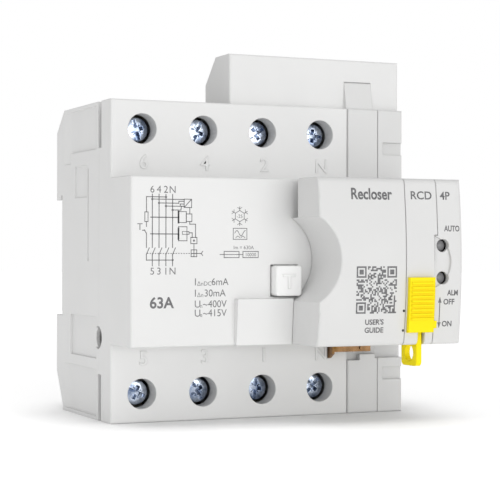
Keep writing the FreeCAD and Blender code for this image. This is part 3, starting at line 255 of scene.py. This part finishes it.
def lettering(name, words, x, y, z, height, width=1.0, weight=0.0, depth=0.02, align="CENTER"):
    """Text that stands out from a front face at y by the depth; z is its baseline."""
    bpy.ops.object.text_add(location=(x * MM, (y + 0.01) * MM, z * MM), rotation=FACING_FRONT)
    piece = bpy.context.object
    piece.name = name
    text = piece.data
    text.body = words
    text.align_x = align
    text.size = height * MM / CAPITAL_SHARE
    text.offset = weight * MM
    text.resolution_u = 4
    text.extrude = depth * MM
    piece.scale = (width, 1, 1)
    bpy.ops.object.convert(target="MESH")
    place_in_mesh(piece)
    return piece


def joined_as(name, parts, material, body):
    """Joins parts into one named piece that rides on a body."""
    bpy.ops.object.select_all(action="DESELECT")
    for part in parts:
        part.select_set(True)
    bpy.context.view_layer.objects.active = parts[0]
    if len(parts) > 1:
        bpy.ops.object.join()
    piece = bpy.context.object
    piece.name = name
    piece.data.name = name
    piece.data.materials.clear()
    piece.data.materials.append(material)
    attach(piece, body)
    return piece


# Pole numbers, raised 0.3 mm from the shoulders, above the lower and below the upper screws
POLE_X = (-36, -18, 0, 18)
SHOULDER_Y = -44.0
UPPER_NUMBERS = "642N"
LOWER_NUMBERS = "531N"
numbers = []
for words, baseline in ((UPPER_NUMBERS, 25.2), (LOWER_NUMBERS, -28.3)):
    for x, word in zip(POLE_X, words):
        numbers.append(lettering("pole_number", word, x + 0.4, SHOULDER_Y, baseline, 4.0,
                                 weight=0.06, depth=0.28))
joined_as("raised_pole_numbers", numbers, housing_plastic, "case")

# ---------------------------------------------------------------- printing on the nose
# Wiring diagram, symbols and ratings, pad printed in grey ink on the breaker's nose. The ink
# lies 0.02 mm proud and is a little thin in places.
ink = bpy.data.materials.new("grey_printing_ink")
ink_nodes, ink_links, ink_shader = graph(ink)
ink_thin = noise(ink_nodes, ink_links, 1500, 3)
ink_links.new(tinted(ink_nodes, ink_links,
                     spread(ink_nodes, ink_links, ink_thin.outputs["Fac"], 0, 1),
                     (0.10, 0.10, 0.105), (0.19, 0.19, 0.195)), ink_shader.inputs["Base Color"])
ink_links.new(bumped(ink_nodes, ink_links, ink_thin.outputs["Fac"], 0.1, 0.00001),
              ink_shader.inputs["Normal"])
ink_shader.inputs["Roughness"].default_value = 0.55
NOSE_Y = -60.0
INK_DEPTH = 0.02


def stroke(x0, z0, x1, z1, width=0.22, dash=None):
    """Printed line between two points of the nose, whole or dashed."""
    length = math.hypot(x1 - x0, z1 - z0)
    lean = math.atan2(z1 - z0, x1 - x0)
    count = 1 if dash is None else max(1, round(length / dash))
    lines = []
    for index in range(count):
        middle = (index + 0.5) / count
        place = ((x0 + (x1 - x0) * middle) * MM, NOSE_Y * MM, (z0 + (z1 - z0) * middle) * MM)
        bpy.ops.mesh.primitive_plane_add(size=1, location=place)
        line = bpy.context.object
        share = 1.0 if dash is None else 0.55
        line.scale = ((length / count * share + (width if dash is None else 0)) * MM,
                      width * MM, 1)
        line.rotation_euler = (math.radians(90), -lean, 0)
        place_in_mesh(line)
        bpy.ops.object.mode_set(mode="EDIT")
        bpy.ops.mesh.select_all(action="SELECT")
        bpy.ops.mesh.extrude_region_move(
            TRANSFORM_OT_translate={"value": (0, -INK_DEPTH * MM, 0)})
        bpy.ops.object.mode_set(mode="OBJECT")
        lines.append(line)
    return lines


def path(*points, width=0.22):
    """Printed lines from each point (x, z) to the next."""
    lines = []
    for here, there in zip(points, points[1:]):
        lines += stroke(*here, *there, width)
    return lines


def outline_box(x0, z0, x1, z1, width=0.2):
    """Printed outline of a box."""
    return path((x0, z0), (x1, z0), (x1, z1), (x0, z1), (x0, z0), width=width)


def disc(x, y, z, radius, corners=16):
    """Flat round mark that faces the front."""
    bpy.ops.mesh.primitive_circle_add(vertices=corners, radius=radius * MM, fill_type="NGON",
                                      location=(x * MM, y * MM, z * MM), rotation=FACING_FRONT)
    place_in_mesh(bpy.context.object)
    return bpy.context.object


def dot(x, z, radius=0.32):
    """Printed junction of two lines."""
    return [disc(x, NOSE_Y - 0.025, z, radius)]


# Wiring diagram: four lines with their contacts, the test circuit at the left, and the sensor,
# the relay and the lock at the right
LINE_X = (-39.06, -37.18, -35.25, -33.37)
TEST_X = -40.7
CONTACT_TOP_Z = 3.7
CONTACT_Z = 1.9
CORE_Z = 11.65
WINDING_Z = 7.27
LINKAGE_Z = 2.15
marks = []
for x in LINE_X:
    marks += stroke(x, 17.7, x, CONTACT_TOP_Z, 0.24) + stroke(x, CONTACT_Z, x, -1.1, 0.24)
    marks += stroke(x, CONTACT_Z, x + 0.8, 3.6)
marks += stroke(TEST_X, 17.0, LINE_X[2], 17.0) + dot(LINE_X[2], 17.0)
marks += stroke(TEST_X, 17.0, TEST_X, 13.0) + outline_box(TEST_X - 0.45, 10.5, TEST_X + 0.45, 13.0)
marks += stroke(TEST_X, 10.5, TEST_X, 9.2) + stroke(TEST_X - 0.55, 8.3, TEST_X, 7.4)
marks += stroke(TEST_X, 7.4, TEST_X, CONTACT_TOP_Z) + stroke(TEST_X - 1.1, 8.2, TEST_X - 0.6, 8.2)
marks += stroke(TEST_X, CONTACT_Z, TEST_X + 0.8, 3.6)
marks += path((TEST_X, CONTACT_Z), (TEST_X, 0.4), (LINE_X[3], 0.4)) + dot(LINE_X[3], 0.4)
for x, z, end_x in zip(LINE_X, (16.4, 15.4, 14.6, 13.6), (-30.1, -31.6, -31.2, -31.0)):
    marks += dot(x, z) + stroke(x, z, end_x, z)
marks += path((-31.6, 15.4), (-31.6, 15.9), (-30.1, 15.9))
marks += path((-31.2, 14.6), (-31.2, 15.2), (-30.1, 15.2))
marks += path((-31.0, 13.6), (-30.9, 14.6), (-30.1, 14.6))
marks += outline_box(-30.1, 14.3, -28.0, 16.5) + stroke(-29.9, 14.5, -28.2, 16.3)
marks += stroke(-28.5, 14.3, -28.5, 12.6)
marks += outline_box(-31.7, 10.3, -29.5, 13.2) + stroke(-31.7, 10.3, -31.7, 13.2, 0.5)
marks += outline_box(-29.5, 10.6, -27.9, 12.6)
marks += path((-28.5, 10.6), (-28.5, 9.9), (-26.85, 9.9), (-26.85, 6.4))
marks += outline_box(-31.7, 5.5, -29.3, 9.2) + stroke(-31.7, 6.0, -31.7, 8.7, 0.5)
marks += outline_box(-30.6, 7.2, -28.7, 7.95, 0.16)
marks += path((-28.7, 7.6), (-27.8, 7.6), (-27.8, 6.4))
for z in (CORE_Z, WINDING_Z):
    marks += stroke(-39.5, z, -31.7, z, 0.26)
marks += outline_box(-28.2, 4.75, -26.45, 6.4) + dot(-27.3, 5.55, 0.3)
marks += stroke(-27.3, 4.75, -27.3, 3.2)
marks += outline_box(-28.1, 1.3, -26.5, 3.1) + stroke(-28.1, LINKAGE_Z, -26.5, LINKAGE_Z)
marks += stroke(-27.3, 1.3, -27.3, 3.1)
marks += stroke(TEST_X, LINKAGE_Z, -28.3, LINKAGE_Z, 0.2, dash=0.75)
marks += stroke(-26.4, LINKAGE_Z, -25.2, LINKAGE_Z)
for tip_z in (2.7, 1.6):
    marks += stroke(-25.2, LINKAGE_Z, -24.8, tip_z)
for x, above, below in zip(LINE_X, UPPER_NUMBERS, LOWER_NUMBERS):
    marks.append(lettering("diagram_number", above, x, NOSE_Y, 18.1, 1.9))
    marks.append(lettering("diagram_number", below, x, NOSE_Y, -3.4, 1.9))
marks.append(lettering("diagram_letter", "T", -42.5, NOSE_Y, 8.3, 1.8))
joined_as("wiring_diagram_print", marks, ink, "case")

# Snowflake with the lowest temperature, the sign of the wave, and the breaking capacity
SNOW_X = -14.05
SNOW_Z = 12.2


def on_snow(radius, angle):
    """Point at a distance from the snowflake's middle."""
    return SNOW_X + radius * math.cos(angle), SNOW_Z + radius * math.sin(angle)


marks = []
for turn in range(6):
    angle = math.radians(60 * turn + 90)
    marks += stroke(*on_snow(1.5, angle), *on_snow(1.5, angle + math.radians(60)), 0.16)
    marks += stroke(*on_snow(1.5, angle), *on_snow(2.5, angle), 0.18)
    for side in (-0.275, 0.275):
        marks += stroke(*on_snow(1.95, angle), *on_snow(2.4, angle + side), 0.14)
marks.append(lettering("cold_limit", "-25", SNOW_X, NOSE_Y, 11.7, 0.95))
marks += outline_box(-15.95, 5.95, -11.95, 8.9, 0.18)
wave = [(-15.5 + 0.35 * step, 7.6 + 0.75 * math.sin(step * 0.9)) for step in range(10)]
marks += path(*wave, width=0.16)
for start in (-15.2, -13.7):
    hump = [(start + 0.3 * step, 6.35 + 0.45 * math.sin(step * math.pi / 4)) for step in range(5)]
    marks += path(*hump, width=0.14)
marks += outline_box(-18.6, 1.05, -14.25, 2.7) + stroke(-19.8, 1.87, -13.1, 1.87, 0.18)
marks += outline_box(-13.1, 1.05, -8.6, 2.7)
marks.append(lettering("breaking_value", "10000", -10.85, NOSE_Y, 1.4, 0.95))
marks.append(lettering("peak_value", "Im = 630A", -12.9, NOSE_Y, 3.3, 1.0))
joined_as("symbols_print", marks, ink, "case")

# Rated current, and the four ratings, each a letter with its index and its value
marks = [lettering("rated_current", "63A", -39.8, NOSE_Y, -12.2, 2.9, weight=0.10, align="LEFT")]
for sign, index_x, index, value_x, value, baseline in (
        ("I", -26.4, "ΔnDC", -22.3, "6mA", -6.3), ("I", -26.4, "Δn", -24.4, "30mA", -9.3),
        ("U", -25.6, "n", -24.75, "~400V", -12.2), ("U", -25.6, "e", -24.75, "~415V", -14.6)):
    marks.append(lettering("rating_sign", sign, -27.2, NOSE_Y, baseline, 1.95, align="LEFT"))
    marks.append(lettering("rating_index", index, index_x, NOSE_Y, baseline - 0.1, 1.15,
                           align="LEFT"))
    marks.append(lettering("rating_value", value, value_x, NOSE_Y, baseline, 1.95, width=0.95,
                           align="LEFT"))
joined_as("ratings_print", marks, ink, "case")

# ---------------------------------------------------------------- terminal screws and cages
# M6 combination-head screws of zinc-plated steel, turned and rolled, each in a pressed steel
# cage that rises on the thread and pinches the cable against the copper bar.


def metal(name, colour, shade, rough_low, rough_high, scratch_scale=900, bump=0.12):
    """Bare or plated metal with uneven polish and fine marks; its colour blends in blotches between
    two tones, which on the zinc are painted reflections.
    """
    material = bpy.data.materials.new(name)
    tree_nodes, links, shader = graph(material)
    tone_and_painted_reflection = noise(tree_nodes, links, 240, 4)
    fine = noise(tree_nodes, links, scratch_scale, 5, 0.65)
    blend = spread(tree_nodes, links, tone_and_painted_reflection.outputs["Fac"], 0, 1)
    links.new(tinted(tree_nodes, links, blend, colour, shade), shader.inputs["Base Color"])
    links.new(spread(tree_nodes, links, fine.outputs["Fac"], rough_low, rough_high),
              shader.inputs["Roughness"])
    links.new(bumped(tree_nodes, links, fine.outputs["Fac"], bump, 0.00002),
              shader.inputs["Normal"])
    shader.inputs["Metallic"].default_value = 1.0
    return material


# The zinc's colour swings in blotches from dark blue to pale blue grey: painted dark and bright
# reflections on the screws
zinc = metal("blue_zinc_with_painted_reflections", (0.10, 0.14, 0.23), (0.62, 0.68, 0.78), 0.12, 0.3, bump=0.3)
# The cages are coloured a dark brownish grey
cage_steel = metal("dark_brownish_cage_steel", (0.30, 0.27, 0.25), (0.44, 0.41, 0.38), 0.3, 0.5)


def turned_part(name, profile, x, z, segments=48):
    """Part turned about an axis along Y, from (radius, y) steps starting on the axis."""
    bpy.ops.mesh.primitive_plane_add(size=MM, location=(x * MM, profile[0][1] * MM, z * MM))
    piece = bpy.context.object
    piece.name = name
    bpy.ops.object.transform_apply(location=True)
    bpy.ops.object.mode_set(mode="EDIT")
    bpy.ops.mesh.select_mode(type="VERT")
    bpy.ops.mesh.select_all(action="SELECT")
    bpy.ops.mesh.merge(type="CENTER")
    for (r0, y0), (r1, y1) in zip(profile, profile[1:]):
        step = ((r1 - r0) * MM, (y1 - y0) * MM, 0)
        bpy.ops.mesh.extrude_region_move(TRANSFORM_OT_translate={"value": step})
    bpy.ops.mesh.select_all(action="SELECT")
    bpy.ops.mesh.spin(steps=segments, angle=2 * math.pi, center=(x * MM, 0, z * MM),
                      axis=(0, 1, 0))
    bpy.ops.mesh.select_all(action="SELECT")
    bpy.ops.mesh.remove_doubles(threshold=0.002 * MM)
    bpy.ops.mesh.normals_make_consistent(inside=False)
    bpy.ops.object.mode_set(mode="OBJECT")
    return piece


# Head with rounded rims, then the thread's crests and roots, then the chamfered end
HEAD_Y = -39.0
THREAD_END_Y = -23.2
THREAD_PITCH = 1.0
CREST_R = 2.98
ROOT_R = 2.5
screw_profile = [(0, HEAD_Y), (2.9, HEAD_Y), (3.3, HEAD_Y + 0.12), (3.48, HEAD_Y + 0.5),
                 (3.5, HEAD_Y + 2.3), (3.3, HEAD_Y + 2.5), (2.95, HEAD_Y + 2.5)]
thread_y = HEAD_Y + 2.7
while thread_y < THREAD_END_Y:
    screw_profile += [(CREST_R, thread_y), (CREST_R, thread_y + 0.12),
                      (ROOT_R, thread_y + 0.5), (ROOT_R, thread_y + 0.6)]
    thread_y += THREAD_PITCH
screw_profile += [(2.4, -22.6), (1.9, -22.05), (0, -22.0)]
first_screw = turned_part("terminal_screw", screw_profile, 0, 0)


def recess_cutter(size_x, size_z, depth, taper):
    """Tapered bar that presses one arm of the screw's recess."""
    bpy.ops.mesh.primitive_cube_add(size=1, location=(0, (HEAD_Y + depth / 2 - 0.5) * MM, 0))
    cutter = bpy.context.object
    cutter.scale = (size_x * MM, (depth + 1) * MM, size_z * MM)
    place_in_mesh(cutter)
    bpy.ops.object.mode_set(mode="EDIT")
    bpy.ops.mesh.select_mode(type="FACE")
    bpy.ops.mesh.select_all(action="DESELECT")
    bpy.ops.object.mode_set(mode="OBJECT")
    for face in cutter.data.polygons:
        face.select = face.normal.y > 0.9
    bpy.ops.object.mode_set(mode="EDIT")
    bpy.ops.transform.resize(value=(taper, 1, taper))
    bpy.ops.object.mode_set(mode="OBJECT")
    return cutter


def cut_with(piece, cutter):
    """Cuts the cutter's shape out of the piece and removes the cutter."""
    select_only(piece)
    cut = piece.modifiers.new("cut", "BOOLEAN")
    cut.operation = "DIFFERENCE"
    cut.object = cutter
    bpy.ops.object.modifier_apply(modifier="cut")
    bpy.data.objects.remove(cutter)


# One long slot, the two arms of the cross, and four short ribs between them
for size_x, size_z, depth, taper in ((5.8, 1.0, 1.1, 0.96), (1.3, 4.4, 1.7, 0.7),
                                     (4.4, 1.3, 1.7, 0.7)):
    cut_with(first_screw, recess_cutter(size_x, size_z, depth, taper))
for index in range(4):
    cutter = recess_cutter(0.35, 3.6, 0.5, 0.9)
    cutter.rotation_euler = (0, math.radians(45 + 90 * index), 0)
    place_in_mesh(cutter)
    cut_with(first_screw, cutter)
select_only(first_screw)
bpy.ops.object.shade_smooth_by_angle(angle=math.radians(35))

# Eight copies, each left at its own turn
SCREW_Z = 36.1
for end, side in (("top", 1), ("bottom", -1)):
    for index, x in enumerate(POLE_X):
        key = "%s_%d" % (end, index + 1)
        select_only(first_screw)
        bpy.ops.object.duplicate()
        screw = bpy.context.object
        screw.name = "detailed_screw_" + key
        screw.rotation_euler = (0, math.radians(23 + 37 * index + 51 * (side > 0)), 0)
        place_in_mesh(screw)
        screw.location = (x * MM, 0, side * SCREW_Z * MM)
        place_in_mesh(screw)
        screw.data.materials.append(zinc)
        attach(screw, "screw_" + key)
        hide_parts("terminal_screw_" + key)
        finish_node("clamp_cage_" + key, cage_steel)
bpy.data.objects.remove(first_screw)

# ---------------------------------------------------------------- copper parts
# Terminal bars, contact arms, the conductors through the sensor and the supply link are
# punched or bent from copper, handled bare and slightly browned.
copper = metal("browned_copper", (0.62, 0.33, 0.17), (0.80, 0.48, 0.27), 0.2, 0.38, 700, 0.15)
for name in ("upper_terminal_bars", "lower_terminal_bars", "moving_contact_arms",
             "primary_conductors", "sensor_winding"):
    finish_node(name, copper)
tarnished_copper = metal("dark_tarnished_copper", (0.20, 0.115, 0.055), (0.34, 0.20, 0.10),
                         0.16, 0.3, 500, 0.1)
finish_node("supply_link", tarnished_copper)

# ---------------------------------------------------------------- rail latches
# Three moulded slides of mid-grey acetal, smooth and waxy. They run in the rear faces and snap
# behind the lower flange of the rail.
latch_plastic = moulded_plastic("rail_latch_acetal", (0.30, 0.31, 0.32), (0.26, 0.27, 0.28),
                                0.34, 0.05)
for name in ("breaker_latch_left", "breaker_latch_right", "recloser_latch"):
    finish_node(name, latch_plastic)

# ---------------------------------------------------------------- switching mechanism
# Contact shaft, toggle and relay housing are black glass-filled plastic; link, axles, screws
# and springs are bright steel.
# The same black also serves as painted shade on the recloser's seams
black_plastic_and_painted_shade = moulded_plastic("black_glass_filled_plastic_and_painted_shade", (0.030, 0.030, 0.032),
                                (0.050, 0.050, 0.052), 0.5)
steel = metal("bright_steel", (0.55, 0.56, 0.58), (0.75, 0.76, 0.78), 0.22, 0.42)
dark_steel = metal("dark_iron", (0.13, 0.13, 0.14), (0.22, 0.22, 0.23), 0.35, 0.55)
for name in ("contact_shaft", "toggle_handle", "trip_relay", "mode_switch", "test_resistor"):
    finish_node(name, black_plastic_and_painted_shade)
for name in ("toggle_link", "toggle_axle", "contact_springs", "trip_plunger", "trip_spring",
             "test_spring", "housing_screws", "recloser_screws", "gear_axles", "coupling_bar",
             "drive_lever"):
    finish_node(name, steel)
for name in ("summation_core", "motor"):
    finish_node(name, dark_steel)

# ---------------------------------------------------------------- circuit boards
# Glass-epoxy boards, cut to outline, that stand between the walls of their housings. They are
# coated with green solder resist, and the copper tracks show as faint lighter lines.
board_green = bpy.data.materials.new("green_solder_resist")
board_nodes, board_links, board_shader = graph(board_green)
board_place = board_nodes.new("ShaderNodeTexCoord")
tracks = board_nodes.new("ShaderNodeTexBrick")
tracks.inputs["Scale"].default_value = 420
tracks.inputs["Mortar Size"].default_value = 0.03
tracks.inputs["Color1"].default_value = (0.012, 0.11, 0.035, 1)
tracks.inputs["Color2"].default_value = (0.016, 0.13, 0.045, 1)
tracks.inputs["Mortar"].default_value = (0.05, 0.26, 0.09, 1)
board_links.new(board_place.outputs["Object"], tracks.inputs["Vector"])
board_links.new(tracks.outputs["Color"], board_shader.inputs["Base Color"])
board_links.new(bumped(board_nodes, board_links, tracks.outputs["Fac"], 0.2, 0.00004),
                board_shader.inputs["Normal"])
board_shader.inputs["Roughness"].default_value = 0.3
for name in ("detection_board", "control_board", "supply_block_board"):
    finish_node(name, board_green)

# ---------------------------------------------------------------- test button
# White moulded key marked T, guided in the nose's face. A coil spring of bright steel wire
# behind it pushes it back out.
button_plastic = moulded_plastic("test_button_plastic", (0.86, 0.86, 0.855), (0.84, 0.84, 0.835),
                                 0.34, 0.06)
finish_node("test_button", button_plastic)
button_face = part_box("test_button")[0].y / MM
button_t = lettering("test_button_letter", "T", -0.9, button_face + 0.02, -7.2, 3.9,
                     width=1.15, weight=0.08, depth=0.3)
joined_as("test_button_letter", [button_t], button_plastic, "test_button")

# A copy of the spring, with doubled points merged, rides on the case in place of the carried-over
# one
select_only(nodes["test_spring"])
bpy.ops.object.duplicate()
button_spring = bpy.context.object
button_spring.name = "button_return_spring"
bpy.ops.object.mode_set(mode="EDIT")
bpy.ops.mesh.select_mode(type="VERT")
bpy.ops.mesh.select_all(action="SELECT")
bpy.ops.mesh.remove_doubles(threshold=0.0005 * MM)
bpy.ops.object.mode_set(mode="OBJECT")
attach(button_spring, "case")
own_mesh(button_spring)
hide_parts("test_spring")

# ---------------------------------------------------------------- linkage cover and recloser
# Arched cover and two half shells of the same light grey plastic; the cover hooks onto the
# left shell, and four screws pull the shells together.
recloser_plastic = moulded_plastic("recloser_plastic", (0.69, 0.69, 0.685), (0.67, 0.67, 0.665),
                                   0.42)
for name in ("linkage_cover", "recloser_left_shell", "recloser_right_shell"):
    finish_node(name, recloser_plastic)

# ---------------------------------------------------------------- printing on cover and recloser
# A plain mark, a matrix label for the user's guide and the marks of lamps and slider, pad
# printed in the same grey ink. Each mark starts as a flat one in front of the arched face, is
# laid on it, and stands 0.02 mm proud.
PRINT_Y = -80.0


def flat_word(words, x, z, height, width=1.0, weight=0.0, align="LEFT"):
    """Flat word in front of the arched face; z is its baseline."""
    return lettering("printed_word", words, x, PRINT_Y, z, height, width=width, weight=weight,
                     depth=0, align=align)


def flat_triangle(x, z, radius, down=False):
    """Flat arrow head that points up or down."""
    turn = math.radians(180 if down else 0)
    bpy.ops.mesh.primitive_circle_add(vertices=3, radius=radius * MM, fill_type="NGON",
                                      location=(x * MM, PRINT_Y * MM, z * MM),
                                      rotation=(math.radians(90), turn, 0))
    bpy.context.object.scale = (0.75, 1.25, 1)
    place_in_mesh(bpy.context.object)
    return bpy.context.object


def flat_bar(x0, z0, x1, z1):
    """Flat bar, cut fine enough to follow the arch."""
    bpy.ops.mesh.primitive_plane_add(size=1, rotation=FACING_FRONT,
                                     location=((x0 + x1) / 2 * MM, PRINT_Y * MM,
                                               (z0 + z1) / 2 * MM))
    bpy.context.object.scale = ((x1 - x0) * MM, (z1 - z0) * MM, 1)
    place_in_mesh(bpy.context.object)
    bpy.ops.object.mode_set(mode="EDIT")
    bpy.ops.mesh.select_all(action="SELECT")
    bpy.ops.mesh.subdivide(number_cuts=7)
    bpy.ops.object.mode_set(mode="OBJECT")
    return bpy.context.object


def printed_on(name, parts, under, material=ink):
    """Joins flat marks, lays them on a carried-over piece and gives them their thickness."""
    piece = joined_as(name, parts, material, "case")
    lay = piece.modifiers.new("lay", "SHRINKWRAP")
    lay.wrap_method = "PROJECT"
    lay.use_project_y = True
    lay.use_positive_direction = True
    lay.use_negative_direction = False
    lay.target = nodes[under]
    lay.offset = 0.006 * MM
    thick = piece.modifiers.new("thick", "SOLIDIFY")
    thick.thickness = INK_DEPTH * MM
    thick.offset = 1
    select_only(piece)
    for modifier in ("lay", "thick"):
        bpy.ops.object.modifier_apply(modifier=modifier)


# The joint of the two shells, drawn as a thin black bar from its step down to the slider: painted
# shade of the groove between them
SHELL_JOINT_X = 35.88
printed_on("shell_joint_painted_shade", [flat_bar(SHELL_JOINT_X - 0.10, 0.2, SHELL_JOINT_X, 7.1)],
           "recloser_left_shell", black_plastic_and_painted_shade)

# Two small openings for a pry tool where the cover meets the left shell, drawn as flat black discs:
# painted shade in place of the holes
printed_on("seam_notch_painted_shade", [disc(26.5, PRINT_Y, z, 0.36, 14) for z in (-13.2, -18.5)],
           "linkage_cover", black_plastic_and_painted_shade)

printed_on("cover_mark_print", [flat_word("Recloser", 10.5, 16.7, 3.0, width=0.84, weight=0.10)],
           "linkage_cover")

# Square label: a grid of cells, about half of them inked by chance, with a finder ring in three
# of its corners
LABEL_CELLS = 29
LABEL_X = (11.9, 24.1)
LABEL_Z = (-13.8, -1.2)
RING_NEAR = 3
RING_FAR = LABEL_CELLS - 4
bpy.ops.mesh.primitive_grid_add(x_subdivisions=LABEL_CELLS, y_subdivisions=LABEL_CELLS, size=1,
                                location=(sum(LABEL_X) / 2 * MM, PRINT_Y * MM,
                                          sum(LABEL_Z) / 2 * MM), rotation=FACING_FRONT)
label = bpy.context.object
label.scale = ((LABEL_X[1] - LABEL_X[0]) * MM, (LABEL_Z[1] - LABEL_Z[0]) * MM, 1)
place_in_mesh(label)
bpy.ops.object.mode_set(mode="EDIT")
bpy.ops.mesh.select_mode(type="FACE")
bpy.ops.mesh.select_all(action="DESELECT")
bpy.ops.object.mode_set(mode="OBJECT")
dice = random.Random(11)
for face in label.data.polygons:
    column = int((face.center.x / MM - LABEL_X[0]) / (LABEL_X[1] - LABEL_X[0]) * LABEL_CELLS)
    row = int((face.center.z / MM - LABEL_Z[0]) / (LABEL_Z[1] - LABEL_Z[0]) * LABEL_CELLS)
    inked = dice.random() < 0.5
    for ring_column, ring_row in ((RING_NEAR, RING_NEAR), (RING_NEAR, RING_FAR),
                                  (RING_FAR, RING_FAR)):
        ring = max(abs(column - ring_column), abs(row - ring_row))
        if ring <= 4:
            inked = ring in (0, 1, 3)
    face.select = not inked
bpy.ops.object.mode_set(mode="EDIT")
bpy.ops.mesh.delete(type="FACE")
bpy.ops.object.mode_set(mode="OBJECT")
printed_on("guide_label_print", [label], "linkage_cover")
printed_on("guide_words_print", [
    flat_word("USER'S", 17.6, -16.75, 1.4, weight=0.05, align="CENTER"),
    flat_word("GUIDE", 17.6, -18.9, 1.4, weight=0.05, align="CENTER")], "linkage_cover")

# The device's kind on both shells, and the words and the arrow beside lamps and slider
printed_on("device_words_left_print", [flat_word("RCD", 28.6, 16.9, 2.2, width=1.08, weight=0.04)],
           "recloser_left_shell")
ARROW_X = 37.6
printed_on("recloser_marks_print", [
    flat_word("4P", 37.9, 16.9, 2.2, width=1.0, weight=0.04),
    flat_word("AUTO", 38.9, 8.3, 1.55, width=0.80, weight=0.05),
    flat_word("ALM", 39.9, -9.15, 1.5, width=0.84, weight=0.05),
    flat_word("OFF", 38.7, -11.6, 1.5, width=0.95, weight=0.05),
    flat_word("ON", 38.5, -17.6, 1.5, width=0.95, weight=0.05),
    flat_bar(ARROW_X - 0.13, -16.6, ARROW_X + 0.13, -11.0),
    flat_triangle(ARROW_X, -10.6, 0.85),
    flat_triangle(ARROW_X, -17.0, 0.85, down=True)], "recloser_right_shell")

# ---------------------------------------------------------------- mode slider and padlock tongue
# Yellow slide with finger ribs; pushed up it takes the drive out, and the tongue's ring takes a
# padlock that keeps it so. Both are moulded through in one yellow.
yellow = moulded_plastic("yellow_slider_plastic", (1.0, 0.83, 0.0), (0.97, 0.77, 0.0), 0.40, 0.05,
                         specular=0.2)
for name in ("mode_slider", "padlock_tongue"):
    finish_node(name, yellow)

# ---------------------------------------------------------------- status lenses
# Two light guides of smoky plastic that carry the lamps' light from the board. Each ends in a
# low dome, set back in its window.
lens = moulded_plastic("smoky_lens_plastic", (0.15, 0.15, 0.155), (0.24, 0.24, 0.245), 0.16, 0.03,
                       edge=0.1)
finish_node("status_lenses", lens)
lens_low, lens_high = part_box("status_lenses")
lens_front = lens_low.y / MM
lens_back = lens_high.y / MM
lens_x = (lens_low.x + lens_high.x) / 2 / MM
lens_r = (lens_high.x - lens_low.x) / 2 / MM
lens_z = lens_high.z / MM - lens_r
dome = ((0, 0.50), (0.5, 0.53), (0.95, 0.64), (1.3, 0.82), (1.55, 1.05), (lens_r, 1.35))
lens_profile = [(radius, lens_front + set_back) for radius, set_back in dome]
lens_profile += [(lens_r, lens_back), (0, lens_back)]
light_guides = []
for z in (lens_z, -lens_z):
    guide = turned_part("light_guide", lens_profile, lens_x, z, 40)
    bpy.ops.object.shade_smooth_by_angle(angle=math.radians(30))
    light_guides.append(guide)
guides = joined_as("status_light_guides", light_guides, lens, "case")
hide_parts("status_lenses")

# ---------------------------------------------------------------- drive gears
# White acetal reduction gear, moulded in one with its small gear, and the brass pinion that is
# pressed on the motor's shaft.
white_acetal = moulded_plastic("white_acetal", (0.78, 0.78, 0.76), (0.74, 0.74, 0.72), 0.3, 0.04)
brass = metal("drawn_brass", (0.72, 0.52, 0.22), (0.85, 0.66, 0.33), 0.2, 0.38)
finish_node("reduction_gear", white_acetal)
finish_node("motor_pinion", brass)

# ---------------------------------------------------------------- supply block
# Moulded hood and base of the block that feeds the recloser from the breaker's terminals. Its
# brass pins are held in the base.
# The block's plastic is the recloser's plastic made lighter: painted light for the brighter look of
# its faces
block_plastic_painted_light = moulded_plastic("supply_block_plastic", (0.75, 0.75, 0.745), (0.73, 0.73, 0.725),
                                0.42)
for name in ("supply_block_housing", "supply_block_base"):
    finish_node(name, block_plastic_painted_light)
finish_node("supply_pins", brass)
